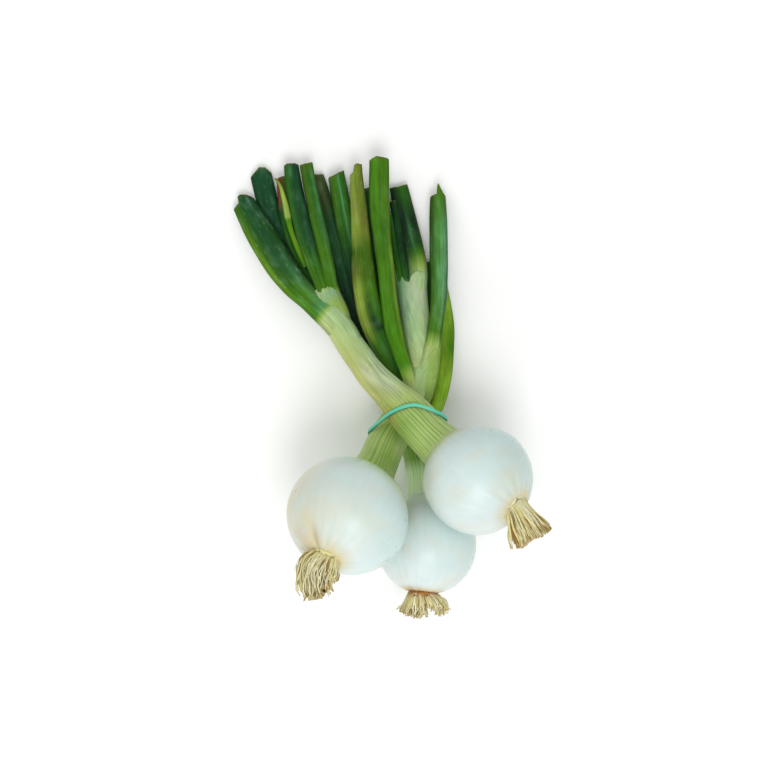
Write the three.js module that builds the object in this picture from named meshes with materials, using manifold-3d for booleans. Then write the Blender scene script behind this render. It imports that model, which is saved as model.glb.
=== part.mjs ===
// A bunch of three white bulbing spring onions, crossed at their necks and held by one rubber band,
// lying on a flat surface. Millimetres, +Z up. The origin is on the surface, under the middle of the bunch;
// the bulbs point along -Y and the trimmed green leaves along +Y.
//
// The middle onion lies on the surface, the left onion rests on it and the right onion crosses over both.
// A piece is first made straight and upright, and then bent along its own route.
import * as THREE from "three";
import { mergeVertices } from "three/addons/utils/BufferGeometryUtils.js";
import Module from "manifold-3d";

const GAP = 0.3; // clearance between pieces that touch
const LEAF_WALL = 1; // thickness of a hollow leaf's flesh
const SOLID_FOOT = 0.22; // share of a leaf, from its foot, that isn't hollow
const BAND = { width: 2.6, thickness: 1.1 };

// How finely each kind of piece is faceted.
const BULB_FACETS = { round: 22, globe: 9, neck: 9 };
const LEAF_FACETS = { round: 10, along: 9 };
const ROOT_FACETS = { round: 14, along: 4 };
const BAND_FACETS = 44;

const FINISHES = {
  bulb: { color: 0xe6ece0, roughness: 0.35 },
  roots: { color: 0xcbb978, roughness: 0.9 },
  sheath: { color: 0xb2ca92, roughness: 0.5 },
  bright_leaf: { color: 0x4c8427, roughness: 0.5 },
  leaf: { color: 0x3a7038, roughness: 0.5 },
  dark_leaf: { color: 0x21482f, roughness: 0.55 },
  yellowing_leaf: { color: 0x74803a, roughness: 0.6 },
  rubber: { color: 0x55b893, roughness: 0.6 },
};

// The onions. A bulb and its neck grew as one: the route runs from the root plate to where the neck
// divides into leaves. girth is the bulb's radius, depth half its height, and plate the root plate's radius;
// neck gives [distance from the root plate, radius].
const ONIONS = {
  right: {
    girth: 27.8,
    depth: 26.8,
    plate: 8,
    neck: [[0, 0], [26, 11], [48, 12.6], [60, 11], [76, 10], [90, 8.7], [104, 7.8], [120, 7.4], [140, 6.8]],
    route: [
      [65, -59.4, 69.6],
      [47.6, -46.6, 56],
      [32, -33, 45.5],
      [22.2, -23.6, 41],
      [12.8, -13.4, 38],
      [3.4, -3.8, 35.5],
      [-5.6, 5.2, 32.5],
      [-14.2, 17, 29],
      [-21, 27, 26.4],
      [-27, 37, 24.4],
    ],
    pressed: { at: 76, by: 0.1 },
  },
  left: {
    girth: 30.9,
    depth: 28,
    plate: 8.5,
    neck: [[0, 0], [28, 12], [50, 13.2], [60, 11], [72, 9.8], [86, 9], [100, 8.4], [122, 7.4]],
    route: [
      [-28.8, -83.4, 77],
      [-18.6, -65, 60.5],
      [-4.8, -41.5, 38.5],
      [1.9, -27, 27.5],
      [7.1, -17.7, 22.4],
      [13.6, -6, 18.6],
      [18.2, 4, 16.8],
      [20.6, 14, 15.6],
    ],
    pressed: { at: 84, by: 0.1 },
  },
  middle: {
    girth: 26,
    depth: 25.5,
    plate: 8,
    neck: [[0, 0], [26, 9], [46, 9.6], [56, 8], [70, 7.2], [84, 7.1], [112, 6.6]],
    route: [
      [19.4, -106.2, 30.6],
      [21.7, -81.9, 26.2],
      [20.8, -62, 18.6],
      [19.2, -46, 13],
      [16.8, -32, 9.8],
      [13, -19, 8.4],
      [8.6, -6, 8.3],
      [5, 4, 8.6],
    ],
    pressed: { at: 80, by: 0.08 },
  },
};

// Leaves and inner sheaths. Each station along a route is [x, y, z, width, thickness].
// A cut is how a leaf was trimmed: [place across it from -1, left, to 1, right; millimetres longer].
const LEAVES = {
  right_inner_sheath: {
    finish: "sheath",
    cut: [[-1, 2], [0, -1], [1, 0]],
    route: [
      [-22.6, 32, 25.2, 10, 9],
      [-24.6, 37, 24.6, 12.4, 9.6],
      [-27.4, 43.6, 22.8, 13, 9],
      [-31, 52, 20.6, 12, 7.4],
    ],
  },
  left_inner_sheath: {
    finish: "sheath",
    cut: [[-1, 1], [-0.3, -3], [0, -4], [0.3, -2], [1, 3]],
    route: [
      [19.9, 11, 16, 11, 10],
      [18.8, 18, 15.4, 14, 10.8],
      [17, 30, 14.6, 14.6, 10.6],
      [15.2, 44, 13.4, 14.8, 9.6],
      [14.8, 56, 12.2, 15.4, 8],
    ],
  },
  left_side_sheath: {
    finish: "sheath",
    cut: [[-1, -1], [0, 1], [1, -1]],
    route: [
      [19, -3, 21.4, 6, 4],
      [21.6, 5, 21.8, 9.4, 5],
      [23.4, 13, 21.4, 10, 5.4],
      [25, 20, 20.4, 8.6, 5.4],
      [25.8, 26, 19, 7.6, 5.4],
    ],
  },
  right_broad_leaf: {
    finish: "leaf",
    cut: [[-1, 0.5], [-0.25, 2], [-0.1, 4.5], [0.6, 3], [1, 0]],
    route: [
      [-27.6, 32, 25.4, 9, 5.4],
      [-32, 37, 23.4, 11.4, 5.8],
      [-39.2, 45, 20, 12.6, 5.6],
      [-47.5, 54.5, 16.4, 14.4, 5.2],
      [-57, 67, 12.2, 16, 4.8],
      [-65.5, 81, 8.4, 16, 4.4],
      [-75.6, 98.2, 4.6, 12.6, 4.6],
    ],
  },
  right_tall_leaf: {
    finish: "leaf",
    cut: [[-1, 0], [-0.5, 0.8], [1, 0]],
    route: [
      [-31, 47.5, 24.5, 5, 3.4],
      [-33.8, 55.4, 23.8, 6.4, 4],
      [-37, 64, 21.6, 7.6, 4.4],
      [-41, 76.4, 18.4, 8.8, 4.6],
      [-44.5, 90, 14.8, 9.2, 4.8],
      [-48, 104.5, 11.4, 9.2, 4.8],
      [-49.8, 118.4, 9, 7.8, 4.6],
    ],
  },
  right_second_tall_leaf: {
    finish: "leaf",
    cut: [[-1, 0], [1, 0.6]],
    route: [
      [-26.5, 46, 24, 5, 3.4],
      [-27.9, 53.5, 23.6, 6.4, 4],
      [-29.9, 64, 21.6, 6.8, 4.4],
      [-32.9, 76.4, 18.4, 7.4, 4.6],
      [-36.2, 90, 15, 7.6, 4.8],
      [-39.2, 104.5, 12, 7, 4.8],
      [-41.7, 118.6, 9.6, 7, 4.6],
    ],
  },
  right_back_leaf: {
    finish: "dark_leaf",
    cut: [[-1, -2.5], [0, 2], [0.5, 1], [1, -2.5]],
    route: [
      [-31.5, 43, 17.6, 6, 3.6],
      [-37, 50, 14.2, 8.6, 3.8],
      [-45, 60, 9.6, 10, 4],
      [-52.6, 73.4, 5.4, 10.6, 4.2],
      [-58.9, 87, 3, 11, 4.4],
      [-63.2, 100.5, 2.5, 11.4, 4.6],
      [-67.2, 116.4, 2.5, 11.4, 4.6],
    ],
  },
  right_torn_leaf: {
    finish: "dark_leaf",
    cut: [[-1, -1], [1, 0.8]],
    route: [
      [-34, 50, 17, 4, 2.8],
      [-38.8, 57, 13.4, 5.4, 3],
      [-43.6, 66, 9.6, 6.4, 3.4],
      [-49, 79, 8.4, 7.4, 3.6],
      [-52.4, 95, 8.2, 8, 3.6],
      [-54, 112.2, 7.8, 8, 3.6],
    ],
  },
  right_curled_shred: {
    finish: "yellowing_leaf",
    solid: true,
    route: [
      [-42.2, 64, 15, 2.2, 1.4],
      [-46.3, 74, 14.2, 2.8, 1.5],
      [-50, 84, 13.6, 2.9, 1.6],
      [-52.1, 93.2, 13.6, 2.8, 1.6],
      [-53.4, 101.5, 14, 2.2, 1.4],
      [-55.6, 107.6, 14, 1.5, 1.2],
      [-58, 111, 13.4, 0.9, 0.9],
    ],
  },
  middle_dark_leaf: {
    finish: "dark_leaf",
    cut: [[-1, 1], [1, -1]],
    route: [
      [3, 7, 8.8, 7, 4],
      [-3.6, 20, 9, 9, 4.2],
      [-12.6, 35, 8, 12, 4.2],
      [-18.8, 49.4, 6, 12.6, 4.4],
      [-23.8, 65.5, 4, 12.4, 4.6],
      [-28.6, 81.6, 3, 12, 4.8],
      [-33, 98.6, 2.8, 10.6, 4.8],
      [-36.8, 114.4, 2.8, 7.6, 4.6],
    ],
  },
  middle_hidden_leaf: {
    finish: "dark_leaf",
    cut: [[-1, -0.6], [1, 1]],
    route: [
      [6.2, 7, 8.6, 7, 4],
      [3.6, 20, 7.4, 9.6, 4.2],
      [0.4, 34, 5.4, 10.6, 4.2],
      [-3.4, 57.5, 3, 10.4, 4.4],
      [-6, 81.6, 2.6, 10, 4.6],
      [-8.4, 107, 2.6, 9.6, 4.6],
    ],
  },
  middle_flat_leaf: {
    finish: "leaf",
    cut: [[-1, -1.4], [1, 1.4]],
    route: [
      [4.4, 6, 12.6, 6, 3.4],
      [-2, 20, 13.6, 8, 3.8],
      [-9.4, 38, 13, 9.4, 4.2],
      [-14.6, 57, 11.2, 10, 4.4],
      [-18.6, 76, 9.6, 10, 4.6],
      [-21.9, 92, 8.6, 9.8, 4.8],
      [-24.4, 105, 8, 9.4, 4.8],
      [-25.9, 113.8, 7.6, 9, 4.6],
    ],
  },
  middle_yellowing_leaf: {
    finish: "yellowing_leaf",
    cut: [[-1, 0], [-0.4, 0.6], [-0.1, 4], [1, 5]],
    route: [
      [8.2, -1, 15.8, 6, 3.6],
      [7, 5.6, 17, 8.4, 3.8],
      [2.9, 14.6, 18.2, 9.8, 4],
      [-2.6, 25.4, 19, 11.8, 4.2],
      [-6.9, 36.5, 19.2, 13, 4.2],
      [-9.6, 48.6, 19, 13, 4.2],
      [-11.3, 61.8, 18.4, 12.2, 4.4],
      [-12.2, 75, 17.6, 10.4, 4.6],
      [-13.4, 91, 16.4, 9, 4.6],
      [-14.4, 104, 15.4, 7.6, 4.4],
      [-15, 113.4, 14.6, 6.6, 4.2],
    ],
  },
  left_long_leaf: {
    finish: "bright_leaf",
    cut: [[-1, -1.4], [-0.3, 0.8], [1, -0.6]],
    route: [
      [14.6, -1, 23.4, 5, 3.4],
      [12, 7.4, 23.8, 7, 4.2],
      [8.2, 18.2, 23.6, 8, 4.8],
      [4.6, 31.7, 22.6, 9.6, 5],
      [2.2, 47, 21, 9, 5.2],
      [0.8, 63, 20, 9, 5.2],
      [-0.9, 76.2, 19, 9.4, 5.2],
      [-2.2, 89.5, 18, 10.4, 5.2],
      [-2.9, 106.5, 17, 10.6, 5.2],
      [-2.8, 121.2, 16.4, 10.2, 5.2],
    ],
  },
  left_wide_leaf: {
    finish: "dark_leaf",
    cut: [[-1, 0], [1, 0]],
    route: [
      [17.4, 53, 12, 9, 4.4],
      [16.9, 60, 10.6, 10.8, 4.8],
      [15.4, 73.4, 7.4, 12, 5],
      [11.8, 92.3, 3.6, 11.6, 5],
      [8.4, 107.8, 2.8, 10.4, 4.8],
    ],
  },
  left_thin_leaf: {
    finish: "dark_leaf",
    solid: true,
    route: [
      [11.8, 51, 15.8, 2.8, 2],
      [11.4, 57, 15.6, 3.2, 2.2],
      [9.2, 70, 13.8, 4, 2.4],
      [6.6, 86, 11, 4, 2.4],
      [4.4, 99, 9, 3.4, 2.2],
    ],
  },
  left_second_thin_leaf: {
    finish: "leaf",
    solid: true,
    route: [
      [8.6, 50, 15.2, 2.4, 1.8],
      [8, 56, 15, 3, 2],
      [6.6, 68, 13.6, 3.4, 2.2],
      [4.6, 81, 11.4, 3.4, 2.2],
      [2.6, 92, 9.8, 3, 2],
    ],
  },
  left_split_leaf: {
    finish: "leaf",
    cut: [[-1, -0.4], [-0.15, 1], [0, 6.6], [0.3, 4.6], [0.7, 1.6], [1, 0]],
    route: [
      [25, 19, 22.2, 5.6, 4],
      [25.7, 24.4, 21.6, 7.2, 4.6],
      [27.2, 35.2, 19.8, 7.6, 4.8],
      [28.6, 47.3, 17.6, 8.4, 5],
      [29, 59.5, 15.2, 9.2, 5.2],
      [28.7, 73, 12.8, 9.8, 5.2],
      [28.5, 89, 10, 9.6, 5.2],
      [28.5, 102, 7.8, 8.2, 5],
    ],
  },
  left_outer_leaf: {
    finish: "bright_leaf",
    cut: [[-1, 0], [1, 1.5]],
    route: [
      [25.6, -15, 20.4, 6, 4.2],
      [28.6, -6.4, 16.8, 8, 4.4],
      [31.2, 5.4, 12.8, 8.6, 4.4],
      [32.6, 17.4, 9.8, 8.6, 4.4],
      [33.2, 29.8, 7.4, 8.2, 4.4],
      [32.2, 41.6, 5.6, 7.6, 4.2],
      [30.4, 54, 4.4, 6.6, 4.2],
      [28.8, 66, 3.4, 6.2, 4.2],
    ],
  },
  left_under_leaf: {
    finish: "dark_leaf",
    cut: [[-1, 0], [1, -1]],
    route: [
      [24, 20, 9, 6, 3.4],
      [24.6, 30, 7.4, 7.6, 3.8],
      [24.2, 42, 5.6, 8.4, 4],
      [23, 54, 3.8, 8.2, 4],
      [21.6, 68, 2.6, 7.4, 4],
    ],
  },
};

// The roots of each onion, trimmed to a short brush, with stations as a leaf has.
const ROOTS = {
  right: [
    [65, -59.5, 70.3, 12, 10],
    [67, -63.4, 72, 15, 11],
    [69.6, -68.4, 74, 20, 11],
    [72.2, -73.4, 75.6, 24, 10],
  ],
  left: [
    [-28.9, -84.4, 77.8, 13, 11],
    [-30.8, -88, 80, 16, 11.5],
    [-33, -92.6, 82.2, 19, 11.5],
    [-34.6, -98, 83.6, 20, 10],
  ],
  middle: [
    [19.3, -107, 30.8, 14, 12],
    [19.6, -109.6, 31, 19, 12.5],
    [20.2, -113.4, 30.4, 26, 12],
    [20.6, -117.6, 29.6, 28, 10.5],
  ],
};
const RAGGED_TRIM = [[-1, 0], [-0.7, 1.6], [-0.35, -0.6], [0, 1.4], [0.35, -0.8], [0.7, 1.6], [1, 0]];

// The band lies in a plane that leans along the necks.
const TIE = new THREE.Vector3(12, -21, 26);
const TIE_NORMAL = new THREE.Vector3(0.05, 1, -0.6).normalize();

const wasm = await Module();
wasm.setup();

const vector = ([x, y, z]) => new THREE.Vector3(x, y, z);

// The value at a distance along a list of [distance, value], on straight lines between them.
function valueAt(list, distance) {
  const next = list.findIndex(([place]) => place >= distance);
  if (next === 0) return list[0][1];
  if (next < 0) return list.at(-1)[1];
  const [[x0, y0], [x1, y1]] = list.slice(next - 1, next + 1);
  return THREE.MathUtils.mapLinear(distance, x0, x1, y0, y1);
}

// Bends a straight geometry along a route. place(x, y, z) says where a vertex goes: its share of the
// route, its distances to the right and upwards there, and how far it stands out past the route's end.
function bend(geometry, route, place) {
  const position = geometry.getAttribute("position");
  for (let i = 0; i < position.count; i += 1) {
    const { share, right, up, past } = place(position.getX(i), position.getY(i), position.getZ(i));
    const along = route.getTangentAt(share);
    const rightward = new THREE.Vector3(along.y, -along.x, 0).normalize();
    const upward = new THREE.Vector3().crossVectors(rightward, along);
    const point = route.getPointAt(share).addScaledVector(along, past);
    point.addScaledVector(rightward, right).addScaledVector(upward, up);
    position.setXYZ(i, point.x, point.y, point.z);
  }
  return geometry;
}

// A geometry as a manifold-3d solid, and back.
function solidOf(geometry) {
  geometry.deleteAttribute("normal");
  geometry.deleteAttribute("uv");
  const merged = mergeVertices(geometry, 1e-4);
  const vertProperties = merged.getAttribute("position").array;
  const triVerts = new Uint32Array(merged.index.array);
  return new wasm.Manifold(new wasm.Mesh({ numProp: 3, vertProperties, triVerts }));
}

function geometryOf(solid) {
  const { vertProperties, triVerts } = solid.getMesh();
  return new THREE.BufferGeometry()
    .setAttribute("position", new THREE.BufferAttribute(vertProperties, 3))
    .setIndex(new THREE.BufferAttribute(triVerts, 1));
}

// The outline of a bulb and its neck: a globe cut off at the root plate, blended into the neck.
function onionProfile({ girth, depth, plate, neck }, length) {
  const start = Math.asin(plate / girth);
  const middle = depth * Math.cos(start);
  const radiusAt = (distance) => {
    const round = girth ** 2 * Math.max(1 - ((distance - middle) / depth) ** 2, 0);
    return (round ** 2 + valueAt(neck, distance) ** 4) ** 0.25;
  };
  const shoulder = 0.85 * Math.PI;
  const distances = [];
  for (let i = 0; i < BULB_FACETS.globe; i += 1) {
    const angle = THREE.MathUtils.lerp(start, shoulder, i / BULB_FACETS.globe);
    distances.push(middle - depth * Math.cos(angle));
  }
  const neckStart = middle - depth * Math.cos(shoulder);
  for (let i = 0; i <= BULB_FACETS.neck; i += 1) {
    distances.push(THREE.MathUtils.lerp(neckStart, length, i / BULB_FACETS.neck));
  }
  return distances.map((distance) => new THREE.Vector2(radiusAt(distance), distance));
}

// A bulb with its neck, made larger all round by grow. The band presses the neck flatter and wider.
function onionGeometry(onion, grow) {
  const pressReach = 14;
  const route = new THREE.CatmullRomCurve3(onion.route.map(vector));
  const length = route.getLength();
  const outline = onionProfile(onion, length).map(({ x, y }) => new THREE.Vector2(x + grow, y));
  outline[0].y -= grow;
  outline.at(-1).y += grow;
  const profile = [new THREE.Vector2(0, -grow), ...outline, new THREE.Vector2(0, length + grow)];
  return bend(new THREE.LatheGeometry(profile, BULB_FACETS.round), route, (x, y, z) => {
    const distance = THREE.MathUtils.clamp(y, 0, length);
    const press = onion.pressed.by * Math.exp(-(((distance - onion.pressed.at) / pressReach) ** 2));
    return { share: distance / length, right: x * (1 + press), up: z * (1 - press), past: y - distance };
  });
}

// A leaf or a brush of roots: a turned skin, with a lining where it is hollow, stretched to the width
// and thickness of each station. Grown, it is larger all round and closed.
function leafGeometry({ route: stations, cut = [[-1, 0], [1, 0]], solid = false }, facets, grow) {
  const skin = 1;
  const lining = 0.5;
  const thinnest = 0.25;
  const route = new THREE.CatmullRomCurve3(stations.map(vector));
  const sections = stations.map(([, , , width, thickness]) => new THREE.Vector3(width, thickness, 0));
  const sizes = new THREE.CatmullRomCurve3(sections);
  const steps = Array.from({ length: facets.along + 1 }, (_, i) => i / facets.along);
  const hollow = solid || grow > 0 ? [1] : steps.filter((share) => share > SOLID_FOOT).reverse();
  const profile = [
    new THREE.Vector2(0, 0),
    ...steps.map((share) => new THREE.Vector2(skin, share)),
    ...hollow.map((share) => new THREE.Vector2(lining, share)),
    new THREE.Vector2(0, hollow.at(-1)),
  ];
  return bend(new THREE.LatheGeometry(profile, facets.round), route, (x, y, z) => {
    const radius = Math.hypot(x, z);
    const across = radius > 0 ? x / radius : 0;
    const above = radius > 0 ? z / radius : 0;
    const outset = radius > (skin + lining) / 2 ? grow : -LEAF_WALL - grow;
    const size = sizes.getPoint(route.getUtoTmapping(y));
    const tip = y === 1 ? grow + valueAt(cut, across) : 0;
    return {
      share: y,
      right: across * Math.max(size.x / 2 + outset, thinnest),
      up: above * Math.max(size.y / 2 + outset, thinnest),
      past: y === 0 ? -grow : tip,
    };
  });
}

// The loop that the stretched band takes round the solids that it ties, clear of them by a distance.
function loopRound(solids, clear) {
  const across = new THREE.Vector3(1, 0, 0).projectOnPlane(TIE_NORMAL).normalize();
  const upward = new THREE.Vector3().crossVectors(across, TIE_NORMAL);
  const slab = new THREE.BoxGeometry(120, BAND.width, 120);
  slab.applyQuaternion(new THREE.Quaternion().setFromUnitVectors(new THREE.Vector3(0, 1, 0), TIE_NORMAL));
  slab.translate(TIE.x, TIE.y, TIE.z);
  const cutter = solidOf(slab);
  const places = solids.flatMap((solid) => {
    const { vertProperties } = solid.intersect(cutter).getMesh();
    const section = new THREE.BufferAttribute(vertProperties, 3);
    return Array.from({ length: section.count }, (_, i) => {
      const place = new THREE.Vector3().fromBufferAttribute(section, i).sub(TIE);
      return new THREE.Vector2(place.dot(across), place.dot(upward));
    });
  });
  const corners = Array.from({ length: BAND_FACETS }, (_, i) => {
    const angle = (2 * Math.PI * i) / BAND_FACETS;
    const out = new THREE.Vector2(Math.cos(angle), Math.sin(angle));
    const touched = places.reduce((best, place) => (place.dot(out) > best.dot(out) ? place : best));
    const corner = touched.clone().addScaledVector(out, clear);
    return TIE.clone().addScaledVector(across, corner.x).addScaledVector(upward, corner.y);
  });
  return new THREE.CatmullRomCurve3(corners, true);
}

// The band: a turned flat ring, stretched round that loop.
function bandGeometry(tied, grow) {
  const route = loopRound(tied, GAP + BAND.thickness);
  const [inner, outer] = [1, 2];
  const profile = [[inner, -0.5], [outer, -0.5], [outer, 0.5], [inner, 0.5], [inner, -0.5]];
  const ring = new THREE.LatheGeometry(profile.map(([x, y]) => new THREE.Vector2(x, y)), BAND_FACETS);
  const position = ring.getAttribute("position");
  for (let i = 0; i < position.count; i += 1) {
    const angle = Math.atan2(position.getZ(i), position.getX(i));
    const share = THREE.MathUtils.euclideanModulo(angle / (2 * Math.PI), 1);
    const out = route.getTangentAt(share).cross(TIE_NORMAL).normalize();
    const isOuter = Math.hypot(position.getX(i), position.getZ(i)) > (inner + outer) / 2;
    const point = route.getPointAt(share).addScaledVector(out, isOuter ? -grow : BAND.thickness + grow);
    point.addScaledVector(TIE_NORMAL, position.getY(i) * (BAND.width + 2 * grow));
    position.setXYZ(i, point.x, point.y, point.z);
  }
  return ring;
}

// Every piece, in the order in which it takes its place: a later one gives way to the earlier ones.
const sides = Object.keys(ONIONS);
const tied = sides.map((side) => solidOf(onionGeometry(ONIONS[side], 0)));
const pieces = [
  ...sides.map((side) => ({
    name: `${side}_bulb`,
    finish: "bulb",
    make: (grow) => onionGeometry(ONIONS[side], grow),
  })),
  ...sides.map((side) => ({
    name: `${side}_roots`,
    finish: "roots",
    make: (grow) => leafGeometry({ route: ROOTS[side], cut: RAGGED_TRIM, solid: true }, ROOT_FACETS, grow),
  })),
  { name: "rubber_band", finish: "rubber", make: (grow) => bandGeometry(tied, grow) },
  ...Object.entries(LEAVES).map(([name, leaf]) => ({
    name,
    finish: leaf.finish,
    make: (grow) => leafGeometry(leaf, LEAF_FACETS, grow),
  })),
];

const bunch = new THREE.Group();
const taken = [];
for (const { name, finish, make } of pieces) {
  const trimmed = taken.reduce((solid, earlier) => solid.subtract(earlier), solidOf(make(0)));
  const [largest] = trimmed.decompose().sort((a, b) => b.volume() - a.volume());
  taken.push(solidOf(make(GAP)));
  const mesh = new THREE.Mesh(geometryOf(largest), new THREE.MeshStandardMaterial(FINISHES[finish]));
  mesh.name = name;
  bunch.add(mesh);
}

export default bunch;
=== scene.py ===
# A tied bunch of three white spring onions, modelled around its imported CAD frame.
import math
import random
from functools import partial

import bmesh
import bpy
import numpy as np
from bpy.props import FloatProperty, FloatVectorProperty, IntProperty, PointerProperty
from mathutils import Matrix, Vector, noise


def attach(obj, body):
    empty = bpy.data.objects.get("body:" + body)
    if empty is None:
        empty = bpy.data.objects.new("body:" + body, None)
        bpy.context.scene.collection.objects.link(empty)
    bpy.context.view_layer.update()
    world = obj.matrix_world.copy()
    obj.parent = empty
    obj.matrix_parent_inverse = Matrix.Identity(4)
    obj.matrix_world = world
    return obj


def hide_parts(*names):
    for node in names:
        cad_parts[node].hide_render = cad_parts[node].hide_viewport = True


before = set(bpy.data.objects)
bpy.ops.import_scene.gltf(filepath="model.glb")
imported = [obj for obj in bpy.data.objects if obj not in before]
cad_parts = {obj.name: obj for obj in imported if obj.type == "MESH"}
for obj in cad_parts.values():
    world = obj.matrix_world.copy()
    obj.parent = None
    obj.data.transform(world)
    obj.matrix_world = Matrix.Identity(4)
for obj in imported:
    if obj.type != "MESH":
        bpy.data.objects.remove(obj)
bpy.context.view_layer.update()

bl_info = {
    "name": "Spring Onion Bunch",
    "version": (1, 0, 0),
    "blender": (4, 5, 0),
    "location": "View3D > Sidebar > Onions",
    "description": "Models a tied bunch of three white spring onions around its CAD frame",
    "category": "Object",
}

MM = 0.001  # the tables below are in millimetres, and Blender's objects in metres
FLOOR_GAP = 0.15  # what touches the floor is pressed flat this far above it, in millimetres

# In a table's texts, commas part the rows, and spaces part a row's numbers and colour names. Where a row
# of tints has one colour name, both sides have that colour.
#
# The onions, as in the CAD. A route runs from the root plate to where the neck divides into leaves.
# neck: distance from the root plate, radius. tints: distance, colour of the lower left side, of the
# upper right side. marks: distance, turn round the onion, reach along, reach round, colour, strength.
# layers are the edges of outer skins: distance, slant, turn that it leans to, height. pressed: distance
# where the band flattens the neck, share that it takes off.
ONIONS = {
    "right": {
        "girth": 27.8, "depth": 26.8, "plate": 8, "pressed": [76, 0.1], "wrinkled": [80, 116],
        "vein_fade": [44, 56], "vein_end": [76, 100], "vein_shade": 0.34, "seed": 3,
        "neck": "0 0, 26 11, 48 12.6, 60 11, 76 10, 90 8.7, 104 7.8, 120 7.4, 140 6.8",
        "route": """
            65 -59.4 69.6, 47.6 -46.6 56, 32 -33 45.5, 22.2 -23.6 41, 12.8 -13.4 38, 3.4 -3.8 35.5,
            -5.6 5.2 32.5, -14.2 17 29, -21 27 26.4, -27 37 24.4""",
        # The grey at 0.7 and 48 and the grey mark at 5 are painted shade on the bulb's upper right and its
        # shoulder; the grey marks on the neck are the dried skin's own colour.
        "tints": """
            0 stain, 0.7 cream grey, 2.5 white mint, 34 white mint, 43 white, 48 grey, 53 neck,
            62 neck, 74 neck_green neck, 84 neck_yellow neck, 94 neck_yellow paper,
            104 neck_yellow paper, 116 neck_yellow sheath, 132 neck sheath""",
        "marks": """
            5 0.9 5 0.5 grey 0.8, 36 2.7 10 0.7 cream 0.6, 92 3 14 0.6 neck_yellow 0.8,
            81 2.8 6 0.5 neck_brown 0.9, 94 1.3 9 0.3 grey 0.35, 106 1.7 8 0.3 grey 0.4,
            108 0.7 10 0.4 paper 0.8""",
        "layers": "90 6 2.5 0.22, 108 -9 1.2 0.18",
    },
    "left": {
        "girth": 30.9, "depth": 28, "plate": 8.5, "pressed": [84, 0.1], "wrinkled": [96, 110],
        "vein_fade": [36, 56], "vein_end": [90, 104], "vein_shade": 0.36, "seed": 5,
        "neck": "0 0, 28 12, 50 13.2, 60 11, 72 9.8, 86 9, 100 8.4, 122 7.4",
        "route": """
            -28.8 -83.4 77, -18.6 -65 60.5, -4.8 -41.5 38.5, 1.9 -27 27.5, 7.1 -17.7 22.4,
            13.6 -6 18.6, 18.2 4 16.8, 20.6 14 15.6""",
        "tints": """
            0 stain, 0.7 stain cream, 3 cream white, 14 cream mint, 34 white mint, 43 mint pale,
            49 pale neck, 56 neck, 64 neck neck_green, 74 neck, 84 neck neck_green, 100 neck,
            122 sheath""",
        "marks": """
            20 3.2 10 0.4 stain 0.8, 3 2.9 3 0.4 plate 0.3, 1 2.3 3 0.14 root_dark 0.7,
            5 2.5 5 0.2 stain 0.7, 33 3 9 0.5 stain 0.75""",
    },
    "middle": {
        "girth": 26, "depth": 25.5, "plate": 8, "pressed": [80, 0.08], "wrinkled": [120, 130],
        "vein_fade": [42, 66], "vein_end": [100, 110], "vein_shade": 0.3, "seed": 9,
        "neck": "0 0, 26 9, 46 9.6, 56 8, 70 7.2, 84 7.1, 112 6.6",
        "route": """
            19.4 -106.2 30.6, 21.7 -81.9 26.2, 20.8 -62 18.6, 19.2 -46 13, 16.8 -32 9.8, 13 -19 8.4,
            8.6 -6 8.3, 5 4 8.6""",
        # The neck's deepest green on the middle neck from 84 on is partly painted shade, where it lies
        # between the other necks.
        "tints": """
            0 plate, 0.6 stain, 2 white, 28 white mint, 44 white, 54 pale, 64 pale, 71 neck_green,
            84 neck_deep neck, 112 neck_deep""",
        "marks": "0.8 2.2 1.5 0.5 plate 0.5",
    },
}

# Inner sheaths and leaves. route: x, y, z, width, thickness, from the foot, which is inside the neck or
# sheath that it grows from. tints: share of the length, colour of its left side, of its right side.
# marks: share of the length, place across, reach along, reach across, colour, strength. cut: place across
# from -1, left, to 1, right, and millimetres longer. folds: share of the length, reach, share of the
# thickness that they take off. channel is how deep the upper side is hollowed, as a share of the
# thickness, bloom how much wax shows (0.4 where it is left out), and slant how the fibres lean.
# Painted light and shade in these tables: the darkest leaf green stands for shade deep in the bunch, in folds
# and under other leaves, the light blue green for sheen on a leaf's lit side, and some marks are painted
# highlights or shadows, as noted at each leaf.
SHEATHS = {
    "right_inner_sheath": {
        "slant": 0.5, "cut": "-1 0, -0.6 1.2, 0 -1, 0.4 0.4, 1 -1",
        "tints": """
            0 neck, 0.4 neck neck_green, 0.65 grey_green neck_green, 0.85 sheath grey_green,
            1 paper neck_green""",
        "route": """
            -19.6 26.6 26 11 10.6, -22.6 32 25 12 11, -25 37.6 24 13.2 10.6, -27.8 44 22.4 13.4 9.6,
            -31 52 20.8 12.2 7.6""",
    },
    "left_inner_sheath": {
        "slant": 0.25, "cut": "-1 1, -0.72 -1, -0.34 -9, -0.1 -9.5, 0.1 -6, 0.4 -4, 1 -5",
        "tints": """
            0 neck, 0.35 sheath, 0.5 grey_green sheath, 0.75 grey_green paper, 0.9 grey_green sheath""",
        "marks": "0.86 -0.7 0.16 0.35 blue_green 0.6, 0.7 0.35 0.2 0.3 paper 0.6",
        "route": """
            20.2 6 16.4 12.6 12.2, 19.9 11 16 14.4 13.2, 18.8 18 15.4 14.8 12, 17 30 14.6 15 10.6,
            15.2 44 13.4 15.8 9.6, 13.8 56 12.2 17.4 8, 12.8 65 11.2 18 6.6""",
    },
    "left_side_sheath": {
        "slant": -0.45, "cut": "-1 -3, 0 1, 1 -1",
        "tints": "0 neck neck_green, 0.5 sheath neck_green, 0.85 neck neck_green, 1 neck_green",
        "route": """
            18 -12 20 8 5, 20.4 -4 20.4 10 6, 22.2 5 20.6 10.8 6, 23.6 13 20.6 10.6 6,
            25 20 20.2 9 5.6, 25.8 26 19.2 8 5.4""",
    },
}
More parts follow.
